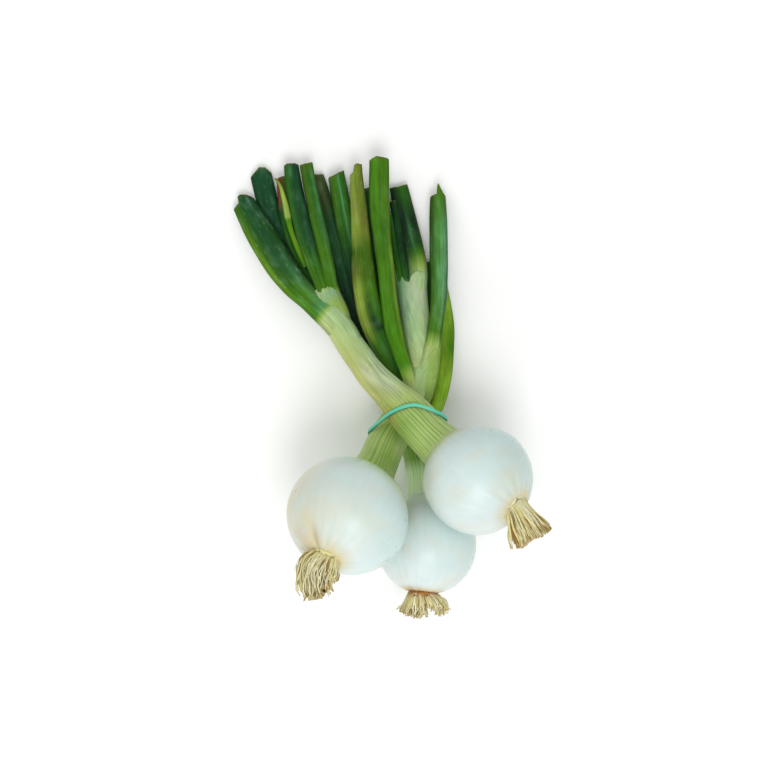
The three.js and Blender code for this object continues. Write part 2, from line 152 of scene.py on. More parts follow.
LEAVES = {
    "right_broad_leaf": {
        "slot": "green_leaf", "bloom": 1, "channel": 0.16,
        "cut": "-1 0, -0.5 1, -0.28 1.4, -0.2 4.8, 0.1 5.4, 0.6 3.4, 1 0",
        "tints": """
            0.195 neck sheath, 0.22 lime neck_green, 0.245 bright blue_green, 0.36 bright grass,
            0.5 grass deep, 0.85 green deep, 1 green teal""",
        # The thin moss line at 0.23 on the right half is a painted shadow under the sheath's edge; the light
        # blue green mark is painted sheen.
        "marks": """
            0.23 0.7 0.007 0.5 moss 0.6, 0.95 -0.95 0.3 0.2 bright 0.8, 0.88 -0.62 0.16 0.12 moss 0.7,
            0.62 -0.85 0.25 0.2 lime 0.5, 0.75 0.1 0.25 0.35 teal 0.7,
            0.48 0.55 0.16 0.35 blue_green 0.45, 0.4 0 0.1 0.3 bright 0.5""",
        "route": """
            -17 22 28.2 12.6 11.8, -21.6 29 26.4 14.1 13.2, -27 35.6 24.6 14.9 12.4,
            -33 41 22.4 13.8 9.4, -39.2 46.4 19.8 12.8 7, -47.5 54.5 16.4 14.4 5.6, -57 67 12.2 16 5,
            -65.5 81 8.4 16 4.6, -75.6 98.2 4.8 12.6 4.6""",
    },
    "right_tall_leaf": {
        "slot": "green_leaf", "cut": "-1 0, -0.5 0.8, 1 0",
        "tints": "0 sheath, 0.05 neck_green, 0.1 grass, 0.3 grass green, 0.45 green teal",
        "marks": """
            0.6 0.1 0.35 0.3 deep 0.6, 0.95 -0.2 0.04 0.25 blue_green 0.6, 0.75 0.85 0.3 0.2 night 0.6""",
        "route": """
            -30 44 21.6 5.6 4.6, -32 50 22.2 6.4 4.8, -34.2 56.4 22.4 6.8 4.6, -37 64 21.4 7.6 4.5,
            -41 76.4 18.4 8.8 4.6, -44.5 90 14.8 9.2 4.8, -48 104.5 11.4 9.2 4.8,
            -49.8 118.4 9 7.8 4.6""",
    },
    "right_second_tall_leaf": {
        "slot": "green_leaf", "channel": 0.1, "cut": "-1 0, 1 0.6",
        "tints": """
            0 sheath, 0.07 sheath neck_green, 0.12 grass, 0.35 grass, 0.6 grass green, 0.9 moss green,
            1 moss""",
        "marks": """
            0.65 0.6 0.3 0.35 blue_green 0.4, 0.75 -0.9 0.3 0.25 moss 0.6, 0.8 0.2 0.2 0.3 deep 0.5""",
        "route": """
            -24.8 43 21.8 5.8 4.6, -26.4 49 22.2 6.6 4.8, -28.2 55 22.4 6.8 4.6, -29.9 64 21.4 7 4.5,
            -32.9 76.4 18.4 7.4 4.6, -36.2 90 15 7.6 4.8, -39.2 104.5 12 7 4.8, -41.7 118.6 9.6 7 4.6""",
    },
    "right_back_leaf": {
        "slot": "dark_leaf", "bloom": 0.7, "channel": 0.2, "cut": "-1 -2.5, 0 2, 0.5 1, 1 -2.5",
        "tints": "0 green, 0.3 deep night, 0.6 teal",
        "route": """
            -28.5 38.6 19.4 6 4, -31.5 43 17.6 7 4, -37 50 14.2 8.6 3.8, -45 60 9.6 10 4,
            -52.6 73.4 5.4 10.6 4.2, -58.9 87 3 11 4.4, -63.2 100.5 2.7 11.4 4.6,
            -67.2 116.4 2.7 11.4 4.6""",
    },
    "right_torn_leaf": {
        "slot": "dark_leaf", "bloom": 0.2, "channel": 0.3, "cut": "-1 -1, -0.4 0.4, 1 0.8",
        "tints": "0.5 green deep, 0.75 deep, 0.85 rust deep, 1 rust green",
        "route": """
            -31 45 18.6 4.4 3, -34 50 17 4.6 3, -38.8 57 13.4 5.6 3, -43.6 66 9.6 6.6 3.4,
            -49 79 8.4 7.6 3.6, -52.4 95 8.2 8 3.6, -54 112.2 7.8 8 3.6""",
    },
    "right_curled_shred": {
        "slot": "yellowing_leaf", "bloom": 0, "cut": "-1 0, 1 0",
        "tints": """
            0 green bright, 0.3 bright lime, 0.52 bright, 0.56 neck_green, 0.8 neck_green straw,
            1 straw""",
        "route": """
            -42.2 64 15 2.2 1.4, -46.3 74 14.2 2.8 1.5, -50 84 13.6 2.9 1.6, -51.3 90 13.6 3.6 1.6,
            -53.2 99.5 14 2.8 1.5, -55.6 107.6 14 1.5 1.2, -58 111 13.4 0.9 0.9""",
    },
    "middle_dark_leaf": {
        "slot": "dark_leaf", "bloom": 0.5, "channel": 0.16, "cut": "-1 1, 1 -1",
        # Mostly painted shade: this leaf lies under the others, so most of it takes the darkest green.
        "tints": "0 neck_deep, 0.16 night, 0.36 night, 0.5 night teal, 0.75 deep teal, 1 night deep",
        "marks": "0.95 0 0.12 1 brown 0.35, 0.66 0.3 0.14 0.5 blue_green 0.3",
        "route": """
            7.6 -2 8.4 9.6 9.4, 3.6 7 8.8 9.6 7.4, -3.6 20 9 9.6 4.6, -12.6 35 8 12 4.2,
            -18.8 49.4 6 13.2 4.4, -23.8 65.5 4 13 4.6, -28.6 81.6 3 12 4.8, -33 98.6 2.8 10.6 4.8,
            -36.8 114.4 2.8 7.6 4.6""",
    },
    "middle_hidden_leaf": {
        "slot": "dark_leaf", "cut": "-1 -0.6, 1 1", "tints": "0 neck_deep, 0.2 deep, 1 deep teal",
        "route": """
            8 -2 8.2 9 9, 6.8 7 8 9.6 7, 3.6 20 7.4 9.8 4.4, 0.4 34 5.4 10.6 4.2,
            -3.4 57.5 3 10.4 4.4, -6 81.6 2.7 10 4.6, -8.4 107 2.7 9.6 4.6""",
    },
    "middle_flat_leaf": {
        "slot": "green_leaf", "channel": 0.14, "cut": "-1 -1.4, 1 1.4",
        "tints": """
            0 neck_deep, 0.2 night deep, 0.45 night teal, 0.62 teal deep, 0.78 green, 1 grass green""",
        "marks": "0.9 0.15 0.22 0.14 blue_green 0.8, 0.9 -0.8 0.2 0.3 moss 0.6",
        "route": """
            7 -2 10.2 8 7, 4.6 6 12 7.4 5.2, -2 20 13.6 8 4, -9.4 38 13 9.4 4.2, -14.6 57 11.2 10 4.4,
            -18.6 76 9.6 10 4.6, -21.9 92 8.6 9.8 4.8, -24.4 105 8 9.4 4.8, -25.9 113.8 7.6 9 4.6""",
    },
    "middle_yellowing_leaf": {
        "slot": "yellowing_leaf", "bloom": 0.5, "channel": 0.18,
        "cut": "-1 -1, -0.5 0.4, -0.25 4.2, 0.2 5.2, 1 4.6",
        "tints": """
            0 neck_deep, 0.14 grass green, 0.28 grass green, 0.36 straw green, 0.5 straw grass,
            0.56 olive moss, 0.66 moss, 0.75 straw olive""",
        # The three thin darkest-green marks by the fold at 0.34 are painted shadow of the fold.
        "marks": """
            0.585 -0.75 0.03 0.3 brown 0.35, 0.66 0.4 0.05 0.7 moss 0.9,
            0.86 -0.45 0.04 0.3 brown 0.4, 0.8 0.45 0.04 0.35 brown 0.45, 0.42 -0.6 0.1 0.2 straw 0.6,
            0.335 0.55 0.015 0.5 night 0.9, 0.37 0.15 0.03 0.3 night 0.8,
            0.43 0.05 0.05 0.25 night 0.5""",
        "folds": "0.34 0.02 0.5",
        "route": """
            9 -7 11 6 5, 8.6 -1 14.6 6.6 4.6, 7 5.6 17 8.4 4, 2.9 14.6 18.2 9.8 4,
            -2.6 25.4 19 11.8 4.2, -6.9 36.5 19.2 13 4.2, -9.6 48.6 19 13 4.2,
            -11.3 61.8 18.4 12.2 4.4, -12.2 75 17.6 10.4 4.6, -13.4 91 16.4 9 4.6,
            -14.4 104 15.4 7.6 4.4, -15 113.4 14.6 6.6 4.2""",
    },
    "left_long_leaf": {
        "slot": "green_leaf", "bloom": 0.25, "channel": 0.08, "cut": "-1 -1.4, -0.3 0.8, 1 -0.6",
        # Its lighter left side against the grass green right is partly painted light, and the bright mark on
        # its left partly a painted highlight.
        "tints": """
            0.06 neck, 0.1 lime neck_green, 0.14 bright, 0.4 bright grass, 0.7 grass, 1 bright grass""",
        "marks": "0.5 0.8 0.3 0.2 straw 0.5, 0.68 0.3 0.08 0.6 green 0.6, 0.85 -0.6 0.2 0.25 bright 0.6",
        "route": """
            16 -6 22.4 4.4 3.4, 14.6 -1 23.2 5.4 3.8, 12 7.4 23.8 7 4.4, 8.2 18.2 23.6 8 4.8,
            4.6 31.7 22.6 9.6 5, 2.2 47 21 9 5.2, 0.8 63 20 9 5.2, -0.9 76.2 19 9.4 5.2,
            -2.2 89.5 18 10.4 5.2, -2.9 106.5 17 10.6 5.2, -2.8 121.2 16.4 10.2 5.2""",
    },
    "left_wide_leaf": {
        "slot": "dark_leaf", "channel": 0.2, "cut": "-1 0, 1 0",
        # Its darkest-green left half is painted shade inside the fold; the light blue green mark is painted
        # sheen.
        "tints": """
            0 sheath, 0.24 green sheath, 0.31 deep neck_green, 0.42 night grass, 0.5 night deep,
            0.7 night, 1 night green""",
        "marks": """
            0.55 1 0.3 0.12 brown 0.7, 0.6 0.1 0.16 0.18 blue_green 0.5, 0.75 -0.3 0.14 0.3 night 0.8""",
        "route": """
            16.6 44 13.6 10 7, 16.8 53 13 11.4 7, 16.8 62 11.2 11.8 6, 15.2 73.4 8 11.8 5.2,
            10.9 92.3 3.9 11.2 5, 7.3 107.8 3.1 10 5""",
    },
    "left_thin_leaf": {
        "slot": "dark_leaf", "bloom": 0.2, "cut": "-1 0, 1 0.6",
        "tints": "0 sheath, 0.2 green deep, 0.5 deep night, 1 night deep",
        "route": """
            12.4 47 13.6 3 2.2, 11.8 54 14.6 3.6 2.4, 9.6 68 13.8 4.2 2.5, 6.8 86 11 4.2 2.5,
            4.4 99 9 3.4 2.2""",
    },
    "left_second_thin_leaf": {
        "slot": "green_leaf", "bloom": 0.2, "cut": "-1 0, 1 0.4",
        "tints": "0 sheath, 0.2 grass green, 0.5 green deep, 1 deep green",
        "route": """
            9.8 47 13.4 2.6 2, 8.8 55 14.2 3.2 2.2, 6.8 68 13.6 3.6 2.3, 4.6 81 11.4 3.4 2.2,
            2.6 92 9.8 3 2""",
    },
    "left_split_leaf": {
        "slot": "green_leaf", "bloom": 0.6, "channel": 0.16,
        "cut": "-1 -0.4, -0.15 1, -0.05 6.6, 0.1 6.8, 0.35 4.2, 0.7 1.6, 1 0",
        "tints": """
            0.06 neck, 0.14 neck_green, 0.2 grass, 0.5 grass blue_green, 0.8 moss blue_green,
            1 moss grass""",
        # These marks are painted light and shade across the rounded leaf: a painted highlight down its middle
        # and a paler one on its right, painted shade on its left and on its far right edge.
        "marks": """
            0.8 0.05 0.3 0.22 bright 0.8, 0.8 -0.7 0.3 0.25 deep 0.6,
            0.5 0.55 0.3 0.2 grey_green 0.35, 0.5 0.97 0.5 0.12 teal 0.8""",
        "route": """
            23.2 11 20.8 8.6 4.8, 24.8 18.6 20.6 8.2 4.8, 25.8 25 20.4 7.9 4.8,
            27.2 35.2 19.4 7.8 4.8, 28.6 47.3 17.6 8.4 5, 29 59.5 15.2 9.2 5.2, 28.7 73 12.8 9.8 5.2,
            28.5 89 10 9.6 5.2, 28.5 102 7.8 8.2 5""",
    },
    "left_outer_leaf": {
        "slot": "green_leaf", "cut": "-1 0, 1 1.5",
        "tints": "0.36 lime, 0.5 lime bright, 0.75 lime, 1 green",
        "marks": "0.36 0.1 0.08 0.25 olive 0.7, 0.6 0.95 0.14 0.2 olive 0.6, 0.5 -0.1 0.08 0.2 olive 0.6",
        "route": """
            23 -22 22.6 5 4, 25.6 -15 20.4 6.6 4.4, 28.6 -6.4 16.8 8 4.4, 31.2 5.4 12.8 8.6 4.4,
            32.6 17.4 9.8 8.6 4.4, 33.2 29.8 7.4 8.2 4.4, 32.2 41.6 5.6 7.6 4.2, 30.4 54 4.4 6.6 4.2,
            28.8 66 3.4 6.2 4.2""",
    },
    "left_under_leaf": {
        "slot": "dark_leaf", "bloom": 0.3, "cut": "-1 0, 1 -1",
        "tints": "0 neck_green, 0.2 green deep, 1 deep",
        "route": """
            22.4 12 11 8 6, 24 20 9 7.6 4.6, 24.6 30 7.4 7.8 4, 24.2 42 5.6 8.4 4, 23 54 3.8 8.2 4,
            21.6 68 2.7 7.4 4""",
    },
}

# The roots, trimmed to a short brush, with stations as a leaf's route has. trim: place across, share of
# the length that is left. curl is how far a root wanders, in millimetres.
ROOTS = {
    "right": {
        "plate_tint": "root_light", "curl": 1.5, "seed": 11,
        "stations": """
            63.6 -58 69 12 10, 65 -59.5 70.3 12.5 10, 67 -63.4 72 15 11, 69.6 -68.4 74 20 11,
            73 -75 75.8 24.6 10""",
        "trim": "-1 0.93, -0.5 1, 0 0.95, 0.6 1.02, 1 0.9",
    },
    "left": {
        "plate_tint": "root", "curl": 4.6, "seed": 23,
        "stations": """
            -28.4 -82.2 76.4 13 10, -29.4 -84.4 78 17 12, -31.4 -88 80 22 12, -32.8 -94 82.2 20 11,
            -31.4 -102 83.6 14 9.6""",
        "trim": "-1 0.68, -0.6 0.86, 0 1, 0.5 1, 0.8 0.9, 1 0.6",
    },
    "middle": {
        "plate_tint": "plate", "curl": 2.4, "seed": 37,
        "stations": """
            19.4 -105.6 30.6 12 11, 19.3 -107 30.8 14.5 11.5, 19.6 -109.6 31 20 11.5,
            20.2 -113.4 30.4 27 11, 20.4 -118.4 29.6 30 10""",
        "trim": "-1 0.72, -0.7 1, -0.5 1.02, -0.34 0.66, -0.2 0.6, -0.06 0.95, 0.4 1.04, 1 0.74",
    },
}

# The sheet in which the band lies: it leans along the necks and dips to both sides of its crest.
BAND_CREST = (15.0, -8.8, 47.5)
BAND_LEAN = 0.35
BAND_DIP = 0.38
BAND_ROUNDING = 4  # radius of the bend at the crest


def rows(text):
    """The rows of a table's text, as lists of numbers and colour names."""
    lines = [row.split() for row in text.split(",") if row]
    return [[word if word[0].isalpha() else float(word) for word in words] for words in lines]


def linear(code):
    """An sRGB hex colour as linear red, green, blue."""
    shares = [int(code[i : i + 2], 16) / 255 for i in (1, 3, 5)]
    return [s / 12.92 if s <= 0.04045 else ((s + 0.055) / 1.055) ** 2.4 for s in shares]


# ---- Settings -------------------------------------------------------------------------------------


def colour(name, code, description):
    """A colour property that starts from an sRGB hex colour."""
    start = linear(code)
    return FloatVectorProperty(
        name=name, description=description, default=start, subtype="COLOR", min=0, max=1
    )


def length(name, description, default, low, high):
    """A length property, given in millimetres."""
    start, least, most = (value * MM for value in (default, low, high))
    return FloatProperty(
        name=name, description=description, default=start, min=least, max=most, unit="LENGTH", precision=5
    )


def power(name, description, default):
    """The power of a lamp, in watts."""
    return FloatProperty(name=name, description=description, default=default, min=0, max=100, unit="POWER")


class BunchSizes(bpy.types.PropertyGroup):
    """Sizes that change how the bunch looks, inside the room that its CAD model gives."""

    vein_height: length("Vein height", "How far the veins stand out on a neck", 0.2, 0, 0.6)
    leaf_wall: length("Leaf wall", "Thickness of a hollow leaf's flesh", 0.55, 0.2, 1)
    root_radius: length("Root radius", "Radius of one trimmed root", 0.42, 0.2, 1)
    root_count: IntProperty(
        name="Roots", description="How many roots each onion keeps", default=340, min=10, max=500
    )
    band_width: length("Band width", "Width of the stretched rubber band", 2, 1, 3)
    band_thickness: length("Band thickness", "Thickness of the stretched rubber band", 1, 0.5, 1.4)


class BunchColours(bpy.types.PropertyGroup):
    """Base colours of the skins, leaves, roots and band."""

    white: colour("Bulb white", "#CCD6D4", "Fresh skin of a bulb")
    mint: colour("Bulb mint", "#BED3D0", "Thin skin with the green showing through")
    cream: colour("Bulb cream", "#C8CBBB", "Older skin of a bulb")
    # Partly painted shade: besides the greyish skin where a bulb turns into its neck, this grey darkens the
    # right bulb's shoulder and its upper right side by the root plate.
    grey: colour("Bulb grey", "#C6CBBA", "Skin where the bulb turns into its neck")
    stain: colour("Skin stain", "#CFC49C", "Earth stain on a bulb")
    plate: colour("Root plate", "#9C6B33", "Corky plate that the roots grow from")
    neck: colour("Neck", "#B0BE78", "Pale green of a neck")
    neck_green: colour("Neck green", "#87A54B", "Greener side of a neck")
    # Partly painted shade: the neck's greenest colour, also laid on the middle neck where it lies deep
    # between the other two.
    neck_deep: colour("Neck deep green", "#6C982C", "Neck in its greenest part")
    neck_yellow: colour("Neck yellow", "#B0B160", "Neck where it yellows")
    neck_brown: colour("Neck brown", "#9A8A40", "Dry edge of an outer skin")
    sheath: colour("Sheath", "#9DB980", "Inner sheath under the leaves")
    pale: colour("Pale neck", "#D2E2B8", "Where a bulb's white turns green")
    paper: colour("Papery skin", "#A7B992", "Thin skin that has dried to paper")
    grey_green: colour("Sheath grey green", "#7B9F75", "Sheath in the shade of its leaves")
    lime: colour("Leaf lime", "#7EA826", "Where a sheath turns into a leaf")
    bright: colour("Leaf bright green", "#427A04", "Young, bright leaf")
    grass: colour("Leaf grass green", "#3F6E0D", "Bright side of a leaf")
    green: colour("Leaf green", "#2A5F13", "Usual green of a leaf")
    deep: colour("Leaf deep green", "#174614", "Darker green of a leaf")
    teal: colour("Leaf blue green", "#134424", "Bluish bloom-covered leaf")
    # Mostly painted sheen: the light bluish green of a leaf's lit side and of its highlight stripes.
    blue_green: colour("Leaf light blue green", "#4D8753", "Bluish side of a leaf in the light")
    # Painted shade: the near-black green of leaves deep inside the bunch, inside folds and under other
    # leaves, where shade falls.
    night: colour("Leaf darkest green", "#0C2A14", "Leaf deep inside the bunch")
    olive: colour("Leaf olive", "#637420", "Yellowing leaf")
    moss: colour("Leaf moss", "#3B5F08", "Yellowing leaf where it stays green")
    straw: colour("Leaf straw", "#839938", "Leaf that has lost its green")
    brown: colour("Leaf brown", "#6A5836", "Bruised or dried leaf")
    rust: colour("Leaf rust", "#74391F", "Red-brown rot at a torn tip")
    flesh: colour("Leaf flesh", "#8FB56A", "Cut edge and inside of a hollow leaf")
    root_light: colour("Root light", "#E4DFB6", "Fresh dried root")
    root: colour("Root straw", "#D8CE92", "Usual dried root")
    root_dark: colour("Root brown", "#9C7A3C", "Earthy or broken end of a root")
    band: colour("Band", "#54C09F", "Stretched rubber band")
    # Painted shade: the darker colour of the band's lower edge.
    band_shaded_edge: colour("Band edge", "#0C7462", "Shaded edge of the band")


class BunchStage(bpy.types.PropertyGroup):
    """The floor and the studio light."""

    floor: colour("Floor", "#FBFBFA", "Pale floor")
    sky_light: FloatProperty(
        name="Sky light", description="Strength of the light from all round", default=0.7, min=0, max=5
    )
    key_power: power("Key light", "Power of the large soft light at the bulbs' side", 5.4)
    shine_power: power("Shine light", "Power of the low soft light that gives the bulbs their sheen", 1.3)
    fill_power: power("Fill light", "Power of the soft light at the leaves' side", 2)


def tint(name):
    """The user's colour of that name, as a row of linear red, green, blue."""
    return np.array(getattr(bpy.context.scene.bunch_colours, name)[:])


# ---- Routes ---------------------------------------------------------------------------------------


def spline(stations, steps=24):
    """Points on the centripetal Catmull-Rom curve through the stations. What follows z rides along."""
    ends = [2 * stations[0] - stations[1], *stations, 2 * stations[-1] - stations[-2]]
    share = np.linspace(0, 1, steps, endpoint=False)[:, None]
    points = []
    for before, start, end, after in zip(ends, ends[1:], ends[2:], ends[3:]):
        pairs = ((before, start), (start, end), (end, after))
        t0, t1, t2 = (np.linalg.norm((b - a)[:3]) ** 0.5 for a, b in pairs)
        out = ((start - before) / t0 - (end - before) / (t0 + t1) + (end - start) / t1) * t1
        into = ((end - start) / t1 - (after - start) / (t1 + t2) + (after - end) / t2) * t1
        points.append(
            (2 * share**3 - 3 * share**2 + 1) * start
            + (share**3 - 2 * share**2 + share) * out
            + (3 * share**2 - 2 * share**3) * end
            + (share**3 - share**2) * into
        )
    return np.concatenate([*points, stations[-1:]])


def unit(vectors):
    """The vectors, each made 1 long."""
    return vectors / np.linalg.norm(vectors, axis=-1, keepdims=True)


def along_line(distance, travelled, values):
    """Values at distances along a line of points that are travelled from its start."""
    return np.stack([np.interp(distance, travelled, v) for v in values.T], -1)


class Route:
    """A smooth path through stations of x, y, z and any sizes, measured from its first station."""

    def __init__(self, stations):
        self.samples = spline(np.array(stations, float))
        steps = np.linalg.norm(np.diff(self.samples[:, :3], axis=0), axis=1)
        self.travelled = np.concatenate([[0], np.cumsum(steps)])
        self.length = self.travelled[-1]
        self.headings = np.gradient(self.samples[:, :3], self.travelled, axis=0)

    def at(self, distance):
        """Places, headings, directions to the right and upwards, and sizes at those distances."""
        inside = np.clip(distance, 0, self.length)
        values = along_line(inside, self.travelled, self.samples)
        heading = unit(along_line(inside, self.travelled, self.headings))
        right = unit(np.stack([heading[:, 1], -heading[:, 0], 0 * heading[:, 0]], -1))
        up = np.cross(right, heading)
        place = values[:, :3] + heading * (distance - inside)[:, None]
        return place, heading, right, up, values[:, 3:]


def smooth_step(value, low, high):
    """0 at low and below, 1 at high and above, and an even S between them."""
    share = np.clip((value - low) / (high - low), 0, 1)
    return share * share * (3 - 2 * share)


def bell(offset, reach):
    """1 where the offset is 0, falling smoothly to almost 0 at twice the reach."""
    return np.exp(-((offset / reach) ** 2))


def blended(tints, distance, side):
    """Colours at distances along a table of tints; side is from 0, its left colours, to 1, its right."""
    places = [row[0] for row in tints]
    left, right = (along_line(distance, places, np.array([tint(row[i]) for row in tints])) for i in (1, -1))
    return left + (right - left) * side[:, None]


def turned(angle, towards):
    """The angle from towards, between minus and plus half a turn."""
    return (angle - towards + math.pi) % (2 * math.pi) - math.pi


def ragged(points, scale, seed):
    """Smooth noise from -1 to 1 at points, with features of about scale."""
    offset = Vector((seed * 7.3, seed * 3.1, seed * 5.7))
    return np.array([noise.noise(Vector(p) / scale + offset) for p in points])


# ---- Meshes ---------------------------------------------------------------------------------------


def mesh_of(bm, name):
    """Turns a bmesh into a mesh, and frees it."""
    mesh = bpy.data.meshes.new(name)
    bm.to_mesh(mesh)
    bm.free()
    return mesh


def linked(name, data):
    """Adds an object of a mesh, lamp or camera to the scene, at the origin."""
    made = bpy.data.objects.new(name, data)
    bpy.context.scene.collection.objects.link(made)
    return made


def vectors_of(items, key):
    """The vectors that a mesh keeps in a list of items, as rows."""
    flat = np.empty(len(items) * 3, np.float32)
    items.foreach_get(key, flat)
    return flat.reshape(-1, 3).astype(float)


def straight_tube(around, along, capped):
    """An upright tube of radius 1 and height 1 with its foot at the origin."""
    bm = bmesh.new()
    bmesh.ops.create_cone(
        bm, cap_ends=capped, cap_tris=capped, segments=around, radius1=1, radius2=1, depth=1
    )
    bmesh.ops.translate(bm, verts=bm.verts, vec=(0, 0, 0.5))
    upright = [e for e in bm.edges if abs(e.verts[0].co.z - e.verts[1].co.z) > 0.5]
    bmesh.ops.subdivide_edges(bm, edges=upright, cuts=along - 1)
    return bm


def add_layer(mesh, name, kind, values):
    """Keeps one value for each vertex, for the materials to read."""
    layer = mesh.attributes.new(name, kind, "POINT")
    if kind == "FLOAT_COLOR":
        values = np.concatenate([values, np.ones((len(values), 1))], axis=1)
    key = {"FLOAT_COLOR": "color", "FLOAT_VECTOR": "vector", "FLOAT": "value"}[kind]
    layer.data.foreach_set(key, np.asarray(values, np.float32).ravel())


def laid(bm, name, place):
    """Makes an object of a straight tube. place takes each vertex's turn round it, radius and height, and
    returns the vertices in millimetres and the layers of the mesh."""
    mesh = mesh_of(bm, name)
    x, y, z = vectors_of(mesh.vertices, "co").T
    points, layers = place(np.arctan2(-y, x), np.hypot(x, y), z)
    points[:, 2] = np.maximum(points[:, 2], FLOOR_GAP)
    mesh.vertices.foreach_set("co", (points * MM).astype(np.float32).ravel())
    for layer, (kind, values) in layers.items():
        add_layer(mesh, layer, kind, values)
    mesh.shade_smooth()
    mesh.update()
    return linked(name, mesh)


def finished(piece, node, slot, *materials):
    """Puts the materials on a piece and lets it stand for its CAD node."""
    for material in materials:
        piece.data.materials.append(material)
    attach(piece, "root")
    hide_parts(node)


def solid_wall(piece, thickness):
    """Gives a tube its wall, inwards, with the second material on the inside and the cut edge."""
    wall = piece.modifiers.new("wall", "SOLIDIFY")
    wall.thickness = thickness
    wall.offset = -1
    wall.material_offset = 1
    wall.material_offset_rim = 1


# ---- Materials ------------------------------------------------------------------------------------


def node(tree, kind, inputs=None, **settings):
    """Adds a node with its settings, and links or sets its inputs."""
    made = tree.nodes.new(kind)
    for name, value in settings.items():
        setattr(made, name, value)
    for socket, value in (inputs or {}).items():
        if isinstance(value, bpy.types.NodeSocket):
            tree.links.new(value, made.inputs[socket])
        else:
            made.inputs[socket].default_value = value
    return made


def new_material(name):
    """A material without nodes, and its node tree."""
    material = bpy.data.materials.new(name)
    material.use_nodes = True
    material.node_tree.nodes.clear()
    return material, material.node_tree


def surfaced(tree, sockets):
    """Ends a node tree with a shader that has those sockets linked or set."""
    shader = node(tree, "ShaderNodeBsdfPrincipled", sockets)
    node(tree, "ShaderNodeOutputMaterial", {"Surface": shader.outputs[0]})


def grain_noise(tree, width, length, detail=3.0):
    """Noise in streaks of that width across and length along the piece, in millimetres."""
    grain = node(tree, "ShaderNodeAttribute", attribute_name="grain")
    scale = (1 / width, 1 / width, 1 / length)
    mapped = node(tree, "ShaderNodeMapping", {"Vector": grain.outputs["Vector"], "Scale": scale})
    inputs = {"Vector": mapped.outputs[0], "Scale": 1.0, "Detail": detail}
    return node(tree, "ShaderNodeTexNoise", inputs).outputs[0]


def shaded(tree, base, *patterns):
    """The base colour made lighter and darker by patterns, each with its swing, a number or a socket."""
    for pattern, swing in patterns:
        centred = node(tree, "ShaderNodeMath", {0: pattern, 1: 0.5}, operation="SUBTRACT")
        inputs = {0: centred.outputs[0], 1: swing, 2: 1.0}
        swung = node(tree, "ShaderNodeMath", inputs, operation="MULTIPLY_ADD")
        inputs = {0: base, "Scale": swung.outputs[0]}
        base = node(tree, "ShaderNodeVectorMath", inputs, operation="SCALE").outputs[0]
    return base


def onion_skin():
    """Onion skin, peeled to a clean layer: smooth and faintly waxy, with moist flesh that glows under it.
    Its fibres are 0.7 mm apart and show on the green neck; the white bulb is nearly even."""
    material, tree = new_material("Onion skin, peeled fresh")
    base = node(tree, "ShaderNodeAttribute", attribute_name="tint").outputs["Color"]
    vein = node(tree, "ShaderNodeAttribute", attribute_name="vein").outputs["Fac"]
    fibres = grain_noise(tree, 0.7, 16)
    fine = grain_noise(tree, 0.3, 7)
    patches = grain_noise(tree, 7, 14, 2.0)
    fibre_swing = node(tree, "ShaderNodeMath", {0: vein, 1: 0.4, 2: 0.06}, operation="MULTIPLY_ADD")
    fine_swing = node(tree, "ShaderNodeMath", {0: vein, 1: 0.35, 2: 0.015}, operation="MULTIPLY_ADD")
    swings = (fibres, fibre_swing.outputs[0]), (fine, fine_swing.outputs[0]), (patches, 0.1)
    gloss = node(
        tree,
        "ShaderNodeMapRange",
        {"Value": patches, "From Min": 0.3, "From Max": 0.7, "To Min": 0.26, "To Max": 0.38},
    )
    relief = node(tree, "ShaderNodeMath", {0: fine, 1: vein}, operation="MULTIPLY")
    bump = node(tree, "ShaderNodeBump", {"Height": relief.outputs[0], "Strength": 1.0, "Distance": 0.08 * MM})
    sockets = {"Base Color": shaded(tree, base, *swings), "Roughness": gloss.outputs[0], "IOR": 1.4}
    sockets |= {"Normal": bump.outputs[0], "Subsurface Weight": 0.25}
    sockets |= {"Subsurface Radius": (1.0, 0.9, 0.6), "Subsurface Scale": 2.5 * MM}
    surfaced(tree, sockets)
    return material


def sheath_skin():
    """Inner leaf sheath, dried thin at the surface: matt and papery, with close parallel fibres about
    0.4 mm apart."""
    material, tree = new_material("Leaf sheath, papery")
    base = node(tree, "ShaderNodeAttribute", attribute_name="tint").outputs["Color"]
    fibres = grain_noise(tree, 0.8, 18)
    fine = grain_noise(tree, 0.4, 6)
    creases = grain_noise(tree, 2, 9, 3.0)
    painted = shaded(tree, base, (fibres, 0.5), (fine, 0.4), (creases, 0.25))
    heights = node(tree, "ShaderNodeMath", {0: fine, 1: creases}, operation="ADD")
    relief = {"Height": heights.outputs[0], "Strength": 1.0, "Distance": 0.16 * MM}
    bump = node(tree, "ShaderNodeBump", relief)
    sockets = {"Base Color": painted, "Normal": bump.outputs[0], "Roughness": 0.5, "IOR": 1.4}
    sockets |= {"Subsurface Weight": 0.15, "Subsurface Radius": (1, 1, 0.5), "Subsurface Scale": 1.5 * MM}
    surfaced(tree, sockets)
    return material


